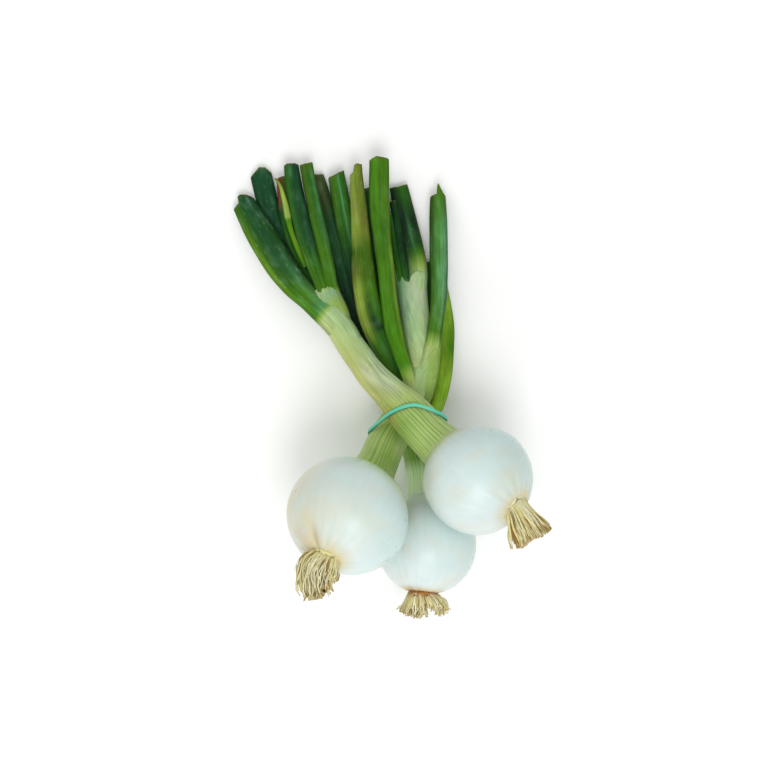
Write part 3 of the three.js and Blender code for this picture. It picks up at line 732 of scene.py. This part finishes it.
def leaf_skin():
    """Onion leaf, fresh and waxy: a soft gloss, fine ribs 0.5 mm and bands 1.5 mm apart along it, and
    patches of pale wax bloom with a few small scuffs."""
    material, tree = new_material("Onion leaf, waxy")
    base = node(tree, "ShaderNodeAttribute", attribute_name="tint").outputs["Color"]
    bloom = node(tree, "ShaderNodeAttribute", attribute_name="bloom").outputs["Fac"]
    ribs = grain_noise(tree, 0.5, 24)
    bands = grain_noise(tree, 1.5, 30, 2.0)
    clouds = grain_noise(tree, 3.5, 9, 4.0)
    scuffs = grain_noise(tree, 0.7, 3.0, 2.0)
    painted = shaded(tree, base, (ribs, 0.8), (bands, 0.8), (clouds, 0.7))
    films = (clouds, 0.52, 0.8, 0.2, "#8FB0A0"), (scuffs, 0.66, 0.78, 0.35, "#B9CBB0")
    for pattern, low, high, most, code in films:
        inputs = {"Value": pattern, "From Min": low, "From Max": high, "To Min": 0, "To Max": most}
        film = node(tree, "ShaderNodeMapRange", inputs)
        film_here = node(tree, "ShaderNodeMath", {0: film.outputs[0], 1: bloom}, operation="MULTIPLY")
        inputs = {0: film_here.outputs[0], 6: painted, 7: (*linear(code), 1)}
        painted = node(tree, "ShaderNodeMix", inputs, data_type="RGBA").outputs[2]
    gloss = node(
        tree,
        "ShaderNodeMapRange",
        {"Value": clouds, "From Min": 0.3, "From Max": 0.7, "To Min": 0.34, "To Max": 0.52},
    )
    bump = node(tree, "ShaderNodeBump", {"Height": ribs, "Strength": 1.0, "Distance": 0.1 * MM})
    sockets = {"Base Color": painted, "Roughness": gloss.outputs[0], "Normal": bump.outputs[0]}
    surfaced(tree, sockets | {"IOR": 1.42, "Specular IOR Level": 0.15})
    return material


def leaf_flesh():
    """Cut leaf flesh, moist: the pale, even green of the wall and the inside of a hollow leaf."""
    material, tree = new_material("Leaf flesh, cut")
    painted = shaded(tree, tint("flesh"), (grain_noise(tree, 0.6, 10), 0.4))
    surfaced(tree, {"Base Color": painted, "Roughness": 0.45, "IOR": 1.38})
    return material


def dried_root():
    """Onion root, air-dried: matt straw-like threads with fine lengthwise wrinkles 0.3 mm apart, brown
    where they broke or kept earth."""
    material, tree = new_material("Onion root, air-dried")
    base = node(tree, "ShaderNodeAttribute", attribute_name="tint").outputs["Color"]
    wrinkles = grain_noise(tree, 0.3, 2.5)
    painted = shaded(tree, base, (wrinkles, 0.6), (grain_noise(tree, 1.5, 2.0, 2.0), 0.5))
    bump = node(tree, "ShaderNodeBump", {"Height": wrinkles, "Strength": 1.0, "Distance": 0.15 * MM})
    surfaced(tree, {"Base Color": painted, "Normal": bump.outputs[0], "Roughness": 0.8, "IOR": 1.45})
    return material


def band_rubber():
    """Natural rubber, cut from a dipped tube: satin, slightly see-through green, with a faint dusty grain
    of 0.4 mm. Its tint is darker along its lower edge: painted shade."""
    material, tree = new_material("Natural rubber band, satin")
    base = node(tree, "ShaderNodeAttribute", attribute_name="tint").outputs["Color"]
    dust = grain_noise(tree, 0.4, 0.8)
    bump = node(tree, "ShaderNodeBump", {"Height": dust, "Strength": 1.0, "Distance": 0.04 * MM})
    sockets = {"Base Color": shaded(tree, base, (dust, 0.25)), "Normal": bump.outputs[0]}
    sockets |= {"Roughness": 0.42, "IOR": 1.52, "Subsurface Weight": 0.1}
    surfaced(tree, sockets | {"Subsurface Radius": (0.6, 1, 0.8), "Subsurface Scale": 1 * MM})
    return material


# ---- Onions, sheaths and leaves -------------------------------------------------------------------

GLOBE_RINGS = 150
NECK_RINGS = 170
ONION_SIDES = 240
LEAF_RINGS = 110
LEAF_SIDES = 80
SHOULDER = 0.85 * math.pi  # turn from the root plate where the rings of the globe end
VEINS = 40
VEIN_WIDTHS = 0.035, 0.055  # least and greatest, in radians
GROOVE_LOSS = np.array([1.3, 0.75, 1.5])  # how much red, green and blue a groove between two veins loses
WALL_SHARE = 0.25  # a thin leaf's wall, as a share of its least width or thickness
SHEATH_WEAR = {"rumple": 0.5, "fray": 0.1, "bloom": 0.0}  # thin skin puckers, and has no wax on it
LEAF_FRAY = 0.3


def vein_crests(angle, seed):
    """How near each turn is to a vein: 1 on its crest and 0 between two. Veins are unevenly spaced."""
    chance = random.Random(seed)
    crests = np.zeros_like(angle)
    for i in range(VEINS):
        off = turned(angle, (i + chance.uniform(-0.3, 0.3)) * 2 * math.pi / VEINS)
        width = chance.uniform(*VEIN_WIDTHS)
        crests = np.maximum(crests, chance.uniform(0.6, 1) * bell(off, width))
    return crests


def band_sheet(x, z):
    """How far along Y the band lies at x, z."""
    crest_x, crest_y, crest_z = BAND_CREST
    dip = np.sqrt((x - crest_x) ** 2 + BAND_ROUNDING**2) - BAND_ROUNDING
    return crest_y + BAND_LEAN * (z - crest_z) - BAND_DIP * dip


def onion_place(onion, angle, radius, share):
    """Places and layers of a bulb that turns into its neck, from the root plate upwards."""
    route = Route(rows(onion["route"]))
    neck = Route([[distance, 0, 0, size] for distance, size in rows(onion["neck"])])
    girth, depth, seed = onion["girth"], onion["depth"], onion["seed"]
    start = math.asin(onion["plate"] / girth)
    middle = depth * math.cos(start)
    globe = middle - depth * np.cos(np.linspace(start, SHOULDER, GLOBE_RINGS, endpoint=False))
    rest = np.linspace(middle - depth * math.cos(SHOULDER), route.length, NECK_RINGS + 1)
    rings = np.concatenate([globe, rest])
    distance = rings[np.rint(share * (len(rings) - 1)).astype(int)]
    round_part = girth**2 * np.maximum(1 - ((distance - middle) / depth) ** 2, 0)
    outline = (round_part**2 + neck.at(distance)[4][:, 0] ** 4) ** 0.25

    # Veins, lumps, and folds round the root plate.
    across, above = np.cos(angle), np.sin(angle)
    on_neck = smooth_step(distance, *onion["vein_fade"])
    veined = on_neck * (1 - 0.75 * smooth_step(distance, *onion["vein_end"]))
    wander = ragged(np.stack([across, above, distance / 16], -1), 1.0, seed + 4)
    crests = vein_crests(angle + 0.06 * wander * on_neck, seed)
    vein_height = bpy.context.scene.bunch_sizes.vein_height / MM
    outline += vein_height * (crests - 0.4) * (0.1 + 0.9 * veined)
    here = np.stack([across, above, distance / girth], -1)
    outline += 0.45 * ragged(here, 0.9, seed) * (1 - 0.5 * on_neck)
    outline += 0.35 * np.cos(19 * angle + 1.2 * np.sin(3 * angle)) * bell(distance, 5)

    # Creases in the dried outer skin, and the edges of outer skins.
    low, high = onion["wrinkled"]
    window = smooth_step(distance, low, low + 8) * (1 - smooth_step(distance, high - 6, high))
    creases = ragged(np.stack([across * 9, above * 9, distance * 0.22], -1), 2.2, seed + 1)
    outline += 0.5 * creases * window
    edge_shade = np.zeros_like(distance)
    for at, slant, towards, height in rows(onion.get("layers", "")):
        off = turned(angle, towards)
        edge = at + slant * off**2 + 0.8 * ragged(here * [3, 3, 0], 0.6, at)
        step = height * np.exp(-((off / 0.9) ** 4))
        skin = (1 - smooth_step(distance - edge, -0.3, 0.3)) * smooth_step(distance, at - 30, at - 4)
        outline += step * skin
        edge_shade += bell(distance - edge - 0.4, 0.5) * step / height
    outline -= 1.6 * smooth_step(distance, route.length - 8, route.length)

    # The band flattens the neck and sinks into it.
    place, heading, right, up, _ = route.at(distance)
    pressed_at, pressed_by = onion["pressed"]
    press = pressed_by * bell(distance - pressed_at, 14)
    bite = place + (right * across[:, None] + up * above[:, None]) * outline[:, None]
    outline -= 0.45 * bell(bite[:, 1] - band_sheet(bite[:, 0], bite[:, 2]), 1.8)
    sideways = outline * radius * across * (1 + press)
    upwards = outline * radius * above * (1 - press)
    points = place + right * sideways[:, None] + up * upwards[:, None]

    # Colours: along the onion, then marks, patches, grooves, painted shade along the edges of outer skins,
    # and painted light and shade on the creases.
    streaked = smooth_step(distance, 34, 44) * (1 - smooth_step(distance, 60, 70))
    tints = blended(rows(onion["tints"]), distance + 4 * (crests - 0.4) * streaked, (1 + across) / 2)
    for at, towards, reach, spread, name, strength in rows(onion["marks"]):
        near = ((distance - at) / reach) ** 2 + (turned(angle, towards) / spread) ** 2
        tints += (tint(name) - tints) * (strength * np.exp(-near))[:, None]
    mottle = ragged(here * [1, 1, 1.6], 0.45, seed + 2)
    for name, patch in (("cream", mottle), ("mint", -mottle)):
        tints += (tint(name) - tints) * (0.7 * np.clip(patch, 0, 1) * (1 - on_neck))[:, None]
    groove = onion["vein_shade"] * (1 - crests) * veined * (1 + 0.6 * wander)
    tints *= 1.04 - groove[:, None] * GROOVE_LOSS
    # Painted shade where an outer skin's edge steps down, and painted light and shade on the creases: lighter
    # where they rise, darker in their hollows.
    tints *= (1 - 0.1 * np.clip(edge_shade, 0, 1) + 0.26 * creases * window)[:, None]
    layers = {
        "tint": ("FLOAT_COLOR", np.clip(tints, 0, 1)),
        "grain": ("FLOAT_VECTOR", np.stack([9 * across, 9 * above, distance], -1)),
        "vein": ("FLOAT", 0.1 + 0.9 * on_neck),
    }
    return points, layers


def leaf_place(leaf, seed, angle, share):
    """Places and layers of a leaf or sheath: a flattened tube with fine ribs, trimmed at its far end."""
    stations = rows(leaf["route"])
    route = Route(stations)
    across, above = np.cos(angle), np.sin(angle)
    level = 0 * across
    cut = np.interp(across, *zip(*rows(leaf["cut"])))
    cut += leaf.get("fray", LEAF_FRAY) * ragged(np.stack([across, above, level], -1), 0.5, seed)
    distance = share * (route.length + cut)
    place, heading, right, up, sizes = route.at(distance)
    width, thickness = sizes.T
    along = distance / route.length

    # Lumps, folds, the hollowed upper side, the rumples of a sheath, and ribs.
    lumps = ragged(np.stack([distance / 14, level, level], -1), 1.0, seed)
    sway = ragged(np.stack([distance / 22, level + 5, level], -1), 1.0, seed)
    width = width * (1 + 0.03 * lumps)
    for at, reach, depth in rows(leaf.get("folds", "")):
        thickness = thickness * (1 - depth * bell(along - at + 0.012 * across, reach))
    box = np.sign(above) * np.abs(above) ** 0.82
    channel = leaf.get("channel", 0) * bell(across + 0.15 * sway, 0.42) * smooth_step(along, 0.2, 0.45)
    height = box * thickness / 2 - np.where(above > 0, 1, 0.35) * channel * thickness
    rumples = ragged(np.stack([2.4 * across, 2.4 * above, distance / 9 + seed], -1), 0.8, seed)
    rumples *= leaf.get("rumple", 0)
    height = height + rumples * np.abs(above)
    ribs = 0.07 * np.cos(24 * angle + 2 * np.sin(5 * angle + seed))
    sideways = across * (width / 2 + ribs) + 0.35 * sway * smooth_step(along, 0.2, 0.5)
    points = place + right * sideways[:, None] + up * (height + ribs * above)[:, None]

    # Colours: along the leaf, then marks, painted shade towards its edges, painted light and shade on the
    # rumples, and the dry cut.
    side = smooth_step(across, -0.95, 0.35)
    tints = blended(rows(leaf["tints"]), along + 0.012 * lumps + 0.02 * sway * across, side)
    for at, where, reach, spread, name, strength in rows(leaf.get("marks", "")):
        near = ((along - at) / reach) ** 2 + ((across - where) / spread) ** 2
        tints += (tint(name) - tints) * (strength * np.exp(-near) * (above > -0.2))[:, None]
    # Painted shade: each leaf darkens towards its two long edges.
    tints *= (1.02 - 0.42 * np.abs(across) ** 4)[:, None]
    # Painted light and shade: a sheath's rumples are lighter where they rise and darker in their hollows.
    tints *= (1 + 0.25 * rumples)[:, None]
    tints += (tint("neck_brown") * 0.6 - tints) * (0.35 * smooth_step(share, 0.985, 1))[:, None]
    half = np.mean([width for *_, width, _ in stations]) / 2
    grain = [half * across + leaf.get("slant", 0) * distance, half * above, distance + 40 * seed]
    layers = {
        "tint": ("FLOAT_COLOR", np.clip(tints, 0, 1)),
        "grain": ("FLOAT_VECTOR", np.stack(grain, -1)),
        "bloom": ("FLOAT", np.full(len(angle), leaf.get("bloom", 0.4))),
    }
    return points, layers


def add_leaf(name, leaf, slot, seed, skin, flesh):
    """Adds one leaf or sheath with its wall."""
    slimmest = min(min(width, thickness) for *_, width, thickness in rows(leaf["route"]))
    bm = straight_tube(LEAF_SIDES, LEAF_RINGS, False)
    piece = laid(bm, f"{name}.skin", lambda angle, radius, share: leaf_place(leaf, seed, angle, share))
    solid_wall(piece, min(bpy.context.scene.bunch_sizes.leaf_wall, WALL_SHARE * slimmest * MM))
    finished(piece, name, slot, skin, flesh)


class BUNCH_OT_onions(bpy.types.Operator):
    """Model the three bulbs with their necks"""

    bl_idname = "bunch.onions"
    bl_label = "Onions"

    def execute(self, context):
        skin = onion_skin()
        for side, onion in ONIONS.items():
            bm = straight_tube(ONION_SIDES, GLOBE_RINGS + NECK_RINGS, True)
            piece = laid(bm, f"{side}_onion", partial(onion_place, onion))
            finished(piece, f"{side}_bulb", "bulb_skin", skin)
        return {"FINISHED"}


class BUNCH_OT_sheaths(bpy.types.Operator):
    """Model the pale inner sheaths"""

    bl_idname = "bunch.sheaths"
    bl_label = "Sheaths"

    def execute(self, context):
        skin, flesh = sheath_skin(), leaf_flesh()
        for seed, (name, sheath) in enumerate(SHEATHS.items(), 50):
            add_leaf(name, sheath | SHEATH_WEAR, "pale_sheath", seed, skin, flesh)
        return {"FINISHED"}


class BUNCH_OT_leaves(bpy.types.Operator):
    """Model the trimmed green leaves"""

    bl_idname = "bunch.leaves"
    bl_label = "Leaves"

    def execute(self, context):
        skin, flesh = leaf_skin(), leaf_flesh()
        for seed, (name, leaf) in enumerate(LEAVES.items(), 1):
            add_leaf(name, leaf, leaf["slot"], seed, skin, flesh)
        return {"FINISHED"}


# ---- Roots ----------------------------------------------------------------------------------------

ROOT_SIDES = 5
ROOT_RINGS = 9
PLATE_SIDES = 40
PLATE_SHARE = 0.84  # radius of the dome of roots, as a share of the onion's root plate
PLATE_HEIGHT = 2.2
ROOT_KINDS = ("root_light",) * 5 + ("root",) * 5 + ("root_dark",) * 2


def one_root(route, trim, curl, foot, chance, angle, radius, height):
    """Places, colours and grain of one root: it starts on the plate, wanders a little and is cut off."""
    spread = math.sqrt(chance.random())
    turn = chance.uniform(0, 2 * math.pi)
    across, above = spread * math.cos(turn), spread * math.sin(turn)
    reach = np.interp(across, *zip(*trim)) * min(chance.uniform(0.8, 1.15), 1.03) * route.length
    spot, _, right, up, sizes = route.at(np.linspace(0, reach, ROOT_RINGS))
    share = np.linspace(0, reach / route.length, ROOT_RINGS)
    wander = [
        chance.uniform(-1, 1) * np.sin(4 * share + chance.uniform(0, 6))
        + chance.uniform(-0.3, 0.3) * np.sin(12 * share + chance.uniform(0, 6))
        for _ in range(2)
    ]
    sideways = across * sizes[:, 0] * 0.47 + curl * share * wander[0]
    upwards = above * sizes[:, 1] * 0.45 + curl * share * wander[1]
    root = Route(spot + right * sideways[:, None] + up * upwards[:, None])
    where = height * root.length
    spot, _, right, up, _ = root.at(where)
    thick = bpy.context.scene.bunch_sizes.root_radius / MM * chance.uniform(0.5, 1.4)
    size = thick * radius * (1.15 - 0.45 * height)
    points = spot + right * (size * np.cos(angle))[:, None] + up * (size * np.sin(angle))[:, None]
    kind = chance.choice(ROOT_KINDS)
    shade = np.tile(tint(kind) * chance.uniform(0.75, 1.1), (len(angle), 1))
    shade += (foot - shade) * (0.75 * bell(where, 3.5))[:, None]
    tip = smooth_step(height, 0.85, 1) * chance.uniform(0.1, 0.9)
    shade += (tint("root_dark") - shade) * tip[:, None]
    start = chance.uniform(0, 90)
    return points, shade, np.stack([thick * np.cos(angle) + start, thick * np.sin(angle), where], -1)


def brush_place(roots, plate_size, plate_count, angle, radius, height):
    """Places and layers of a root plate, a flattened dome, and of the roots that grow from it."""
    chance = random.Random(roots["seed"])
    route = Route(rows(roots["stations"]))
    trim, foot = rows(roots["trim"]), tint(roots["plate_tint"])
    spot, heading, right, up, _ = route.at(np.array([1.2]))
    plate = slice(0, plate_count)
    round_in = np.stack([np.cos(angle), np.sin(angle), height], -1)[plate]
    lump = 1 + 0.15 * ragged(round_in, 0.35, roots["seed"])
    size = plate_size * radius[plate] * lump
    points = spot + right * (size * np.cos(angle[plate]))[:, None]
    points = points + up * (0.85 * size * np.sin(angle[plate]))[:, None]
    points = points + heading * (PLATE_HEIGHT * height[plate] * lump)[:, None]
    # Painted light and shade: the plate is lighter where its lumps swell out and darker in its dents.
    made = [(points, foot * (1.6 * lump - 0.6)[:, None], round_in * plate_size)]
    root_count = bpy.context.scene.bunch_sizes.root_count
    for part in np.split(np.arange(plate_count, len(angle)), root_count):
        spots = angle[part], radius[part], height[part]
        made.append(one_root(route, trim, roots["curl"], foot, chance, *spots))
    points, shades, grains = (np.concatenate(parts) for parts in zip(*made))
    return points, {"tint": ("FLOAT_COLOR", np.clip(shades, 0, 1)), "grain": ("FLOAT_VECTOR", grains)}


class BUNCH_OT_roots(bpy.types.Operator):
    """Model the trimmed roots of each onion"""

    bl_idname = "bunch.roots"
    bl_label = "Roots"

    def execute(self, context):
        surface = dried_root()
        straight = mesh_of(straight_tube(ROOT_SIDES, ROOT_RINGS - 1, True), "straight root")
        for side, roots in ROOTS.items():
            bm = bmesh.new()
            bmesh.ops.create_uvsphere(bm, u_segments=PLATE_SIDES, v_segments=PLATE_SIDES // 2, radius=1)
            plate_count = len(bm.verts)
            for _ in range(context.scene.bunch_sizes.root_count):
                bm.from_mesh(straight)
            plate_size = PLATE_SHARE * ONIONS[side]["plate"]
            piece = laid(bm, f"{side}_root_brush", partial(brush_place, roots, plate_size, plate_count))
            finished(piece, f"{side}_roots", "dry_roots", surface)
        bpy.data.meshes.remove(straight)
        return {"FINISHED"}


# ---- Band -----------------------------------------------------------------------------------------

BAND_STEPS = 240
BAND_SIDES = 20
SPIN_RADIUS = 10  # radius of the ring that is spun before it is laid round the necks
BAND_REACH = 1.2  # how near the band's sheet a point of a neck is that can hold it out
BAND_TURNS = 720  # directions in which the outermost point of the necks is looked for


def band_loop():
    """The line that the stretched band follows round the necks, and the way out of it at each place."""
    spots = []
    for side, onion in ONIONS.items():
        mesh = bpy.data.objects[f"{side}_onion"].data
        points = vectors_of(mesh.vertices, "co") / MM
        distance = vectors_of(mesh.attributes["grain"].data, "vector")[:, 2]
        from_sheet = np.abs(points[:, 1] - band_sheet(points[:, 0], points[:, 2]))
        near = (distance > onion["vein_fade"][1]) & (from_sheet < BAND_REACH)
        spots.append(points[near][:, [0, 2]])
    spots = np.concatenate(spots)
    if not len(spots):
        raise RuntimeError("no neck passes through the band: check BAND_CREST")
    turns = np.linspace(0, 2 * math.pi, BAND_TURNS, endpoint=False)
    outs = np.stack([np.cos(turns), np.sin(turns)], -1)
    return spots[np.argmax(spots @ outs.T, axis=0)], outs


def spun_ring():
    """A ring with a rounded square section, 1 by 1, that is spun round Z."""
    bm = bmesh.new()
    for vert in bmesh.ops.create_circle(bm, segments=BAND_SIDES, radius=1)["verts"]:
        across, out = (math.copysign(abs(v) ** 0.5, v) / 2 for v in vert.co[:2])
        vert.co = Vector((SPIN_RADIUS + out, 0, across))
    section = [*bm.verts, *bm.edges]
    turn = {"cent": (0, 0, 0), "axis": (0, 0, 1), "angle": 2 * math.pi, "steps": BAND_STEPS}
    bmesh.ops.spin(bm, geom=section, use_merge=True, **turn)
    return bm


class BUNCH_OT_band(bpy.types.Operator):
    """Model the rubber band that ties the necks. The onions come first"""

    bl_idname = "bunch.band"
    bl_label = "Rubber band"

    def execute(self, context):
        bm = spun_ring()
        held, outs = band_loop()
        sizes = context.scene.bunch_sizes
        width, thickness = sizes.band_width / MM, sizes.band_thickness / MM
        line = held + outs * (thickness / 2 + 0.05)
        closed = np.concatenate([line, line[:1]])
        travelled = np.concatenate([[0], np.cumsum(np.linalg.norm(np.diff(closed, axis=0), axis=1))])
        every = np.linspace(0, travelled[-1], BAND_STEPS, endpoint=False)
        even = along_line(every, travelled, closed)
        for _ in range(3):
            even = (np.roll(even, 1, 0) + 2 * even + np.roll(even, -1, 0)) / 4
        middle = np.stack([even[:, 0], band_sheet(even[:, 0], even[:, 1]), even[:, 1]], -1)
        ahead = unit(np.roll(middle, -1, 0) - np.roll(middle, 1, 0))
        out = unit(np.stack([ahead[:, 2], 0 * ahead[:, 0], -ahead[:, 0]], -1))
        out *= np.sign(np.mean(np.sum(out * (middle - middle.mean(0)), axis=1)))
        aside = unit(np.cross(ahead, out))
        aside *= np.sign(aside[:, 1].mean())
        tints = bm.verts.layers.float_color.new("tint")
        grains = bm.verts.layers.float_vector.new("grain")
        face, edge = tint("band"), tint("band_shaded_edge")
        for vert in bm.verts:
            turn = (math.atan2(vert.co.y, vert.co.x) / (2 * math.pi)) % 1
            i = round(turn * BAND_STEPS) % BAND_STEPS
            across, rise = vert.co.z, math.hypot(vert.co.x, vert.co.y) - SPIN_RADIUS
            twist = 0.25 * math.sin(2 * math.pi * turn * 2 + 0.6)
            sideways = across * math.cos(twist) * width
            outward = rise * thickness + across * math.sin(twist) * 0.5
            point = middle[i] + aside[i] * sideways + out[i] * outward
            point[2] = max(point[2], FLOOR_GAP)
            # Painted shade: the band's lower edge, a little more on its side against the necks, takes the
            # darker colour.
            shade = edge + (face - edge) * float(smooth_step(across + 0.3 * rise, -0.3, -0.08))
            vert[tints] = (*shade, 1)
            vert[grains] = Vector((across * width, rise * thickness, every[i]))
            vert.co = Vector(point) * MM
        bmesh.ops.recalc_face_normals(bm, faces=bm.faces)
        mesh = mesh_of(bm, "rubber_band_strip")
        mesh.shade_smooth()
        finished(linked("rubber_band_strip", mesh), "rubber_band", "band_rubber", band_rubber())
        return {"FINISHED"}


# ---- Stage ----------------------------------------------------------------------------------------

FLOOR_HALF = 6  # metres
LIT_SPOT = Vector((0, 0, 0.03))  # where the lamps point
CAMERA_PLACE = (0.0029, -0.0014, 0.83)
CAMERA_LENS = 71


def soft_light(name, power, place, size):
    """A large lamp that points at the bunch."""
    lamp = bpy.data.lights.new(name, "AREA")
    lamp.energy = power
    lamp.size = size
    light = linked(name, lamp)
    light.location = place
    light.rotation_euler = (LIT_SPOT - light.location).to_track_quat("-Z", "Y").to_euler()


class BUNCH_OT_stage(bpy.types.Operator):
    """Add the pale floor, the studio light and the camera straight above"""

    bl_idname = "bunch.stage"
    bl_label = "Stage"

    def execute(self, context):
        scene = context.scene
        look = scene.bunch_stage
        bm = bmesh.new()
        bmesh.ops.create_grid(bm, x_segments=1, y_segments=1, size=FLOOR_HALF)
        floor = linked("floor", mesh_of(bm, "floor"))
        # Painted board, sprayed matt: even and pale, with a soft edge to every shadow.
        material, tree = new_material("Painted board, matt")
        surfaced(tree, {"Base Color": (*look.floor, 1), "Roughness": 0.9})
        floor.data.materials.append(material)

        world = bpy.data.worlds.new("studio")
        world.use_nodes = True
        sky = world.node_tree.nodes["Background"]
        sky.inputs["Color"].default_value = (1, 1, 1, 1)
        sky.inputs["Strength"].default_value = look.sky_light
        scene.world = world
        soft_light("key", look.key_power, (0.1, -0.5, 1.1), 0.5)
        soft_light("shine", look.shine_power, (-0.1, -0.9, 0.6), 0.35)
        soft_light("fill", look.fill_power, (-0.6, 0.5, 1.0), 0.9)

        lens = bpy.data.cameras.new("camera")
        lens.lens = CAMERA_LENS
        lens.sensor_width = 36
        lens.dof.use_dof = False
        scene.camera = linked("camera", lens)
        scene.camera.location = CAMERA_PLACE
        scene.view_settings.view_transform = "Standard"
        return {"FINISHED"}


class BUNCH_PT_panel(bpy.types.Panel):
    """The bunch's sizes, colours and stage, and a button for each group of pieces"""

    bl_idname = "BUNCH_PT_panel"
    bl_label = "Spring Onion Bunch"
    bl_space_type = "VIEW_3D"
    bl_region_type = "UI"
    bl_category = "Onions"

    def draw(self, context):
        layout = self.layout
        for group in GROUPS:
            settings = getattr(context.scene, group)
            column = layout.column(align=True)
            for name in settings.__annotations__:
                column.prop(settings, name)
        for operator in OPERATORS:
            layout.operator(operator.bl_idname)


GROUPS = {"bunch_sizes": BunchSizes, "bunch_colours": BunchColours, "bunch_stage": BunchStage}
OPERATORS = (
    BUNCH_OT_onions,
    BUNCH_OT_sheaths,
    BUNCH_OT_leaves,
    BUNCH_OT_roots,
    BUNCH_OT_band,
    BUNCH_OT_stage,
)
CLASSES = (*GROUPS.values(), *OPERATORS, BUNCH_PT_panel)


def register():
    for cls in CLASSES:
        bpy.utils.register_class(cls)
    for name, group in GROUPS.items():
        setattr(bpy.types.Scene, name, PointerProperty(type=group))


def unregister():
    for name in GROUPS:
        delattr(bpy.types.Scene, name)
    for cls in reversed(CLASSES):
        bpy.utils.unregister_class(cls)


def main():
    """Makes the whole bunch."""
    register()
    bpy.ops.bunch.onions()
    bpy.ops.bunch.sheaths()
    bpy.ops.bunch.leaves()
    bpy.ops.bunch.roots()
    bpy.ops.bunch.band()
    bpy.ops.bunch.stage()


if __name__ == "__main__":
    main()
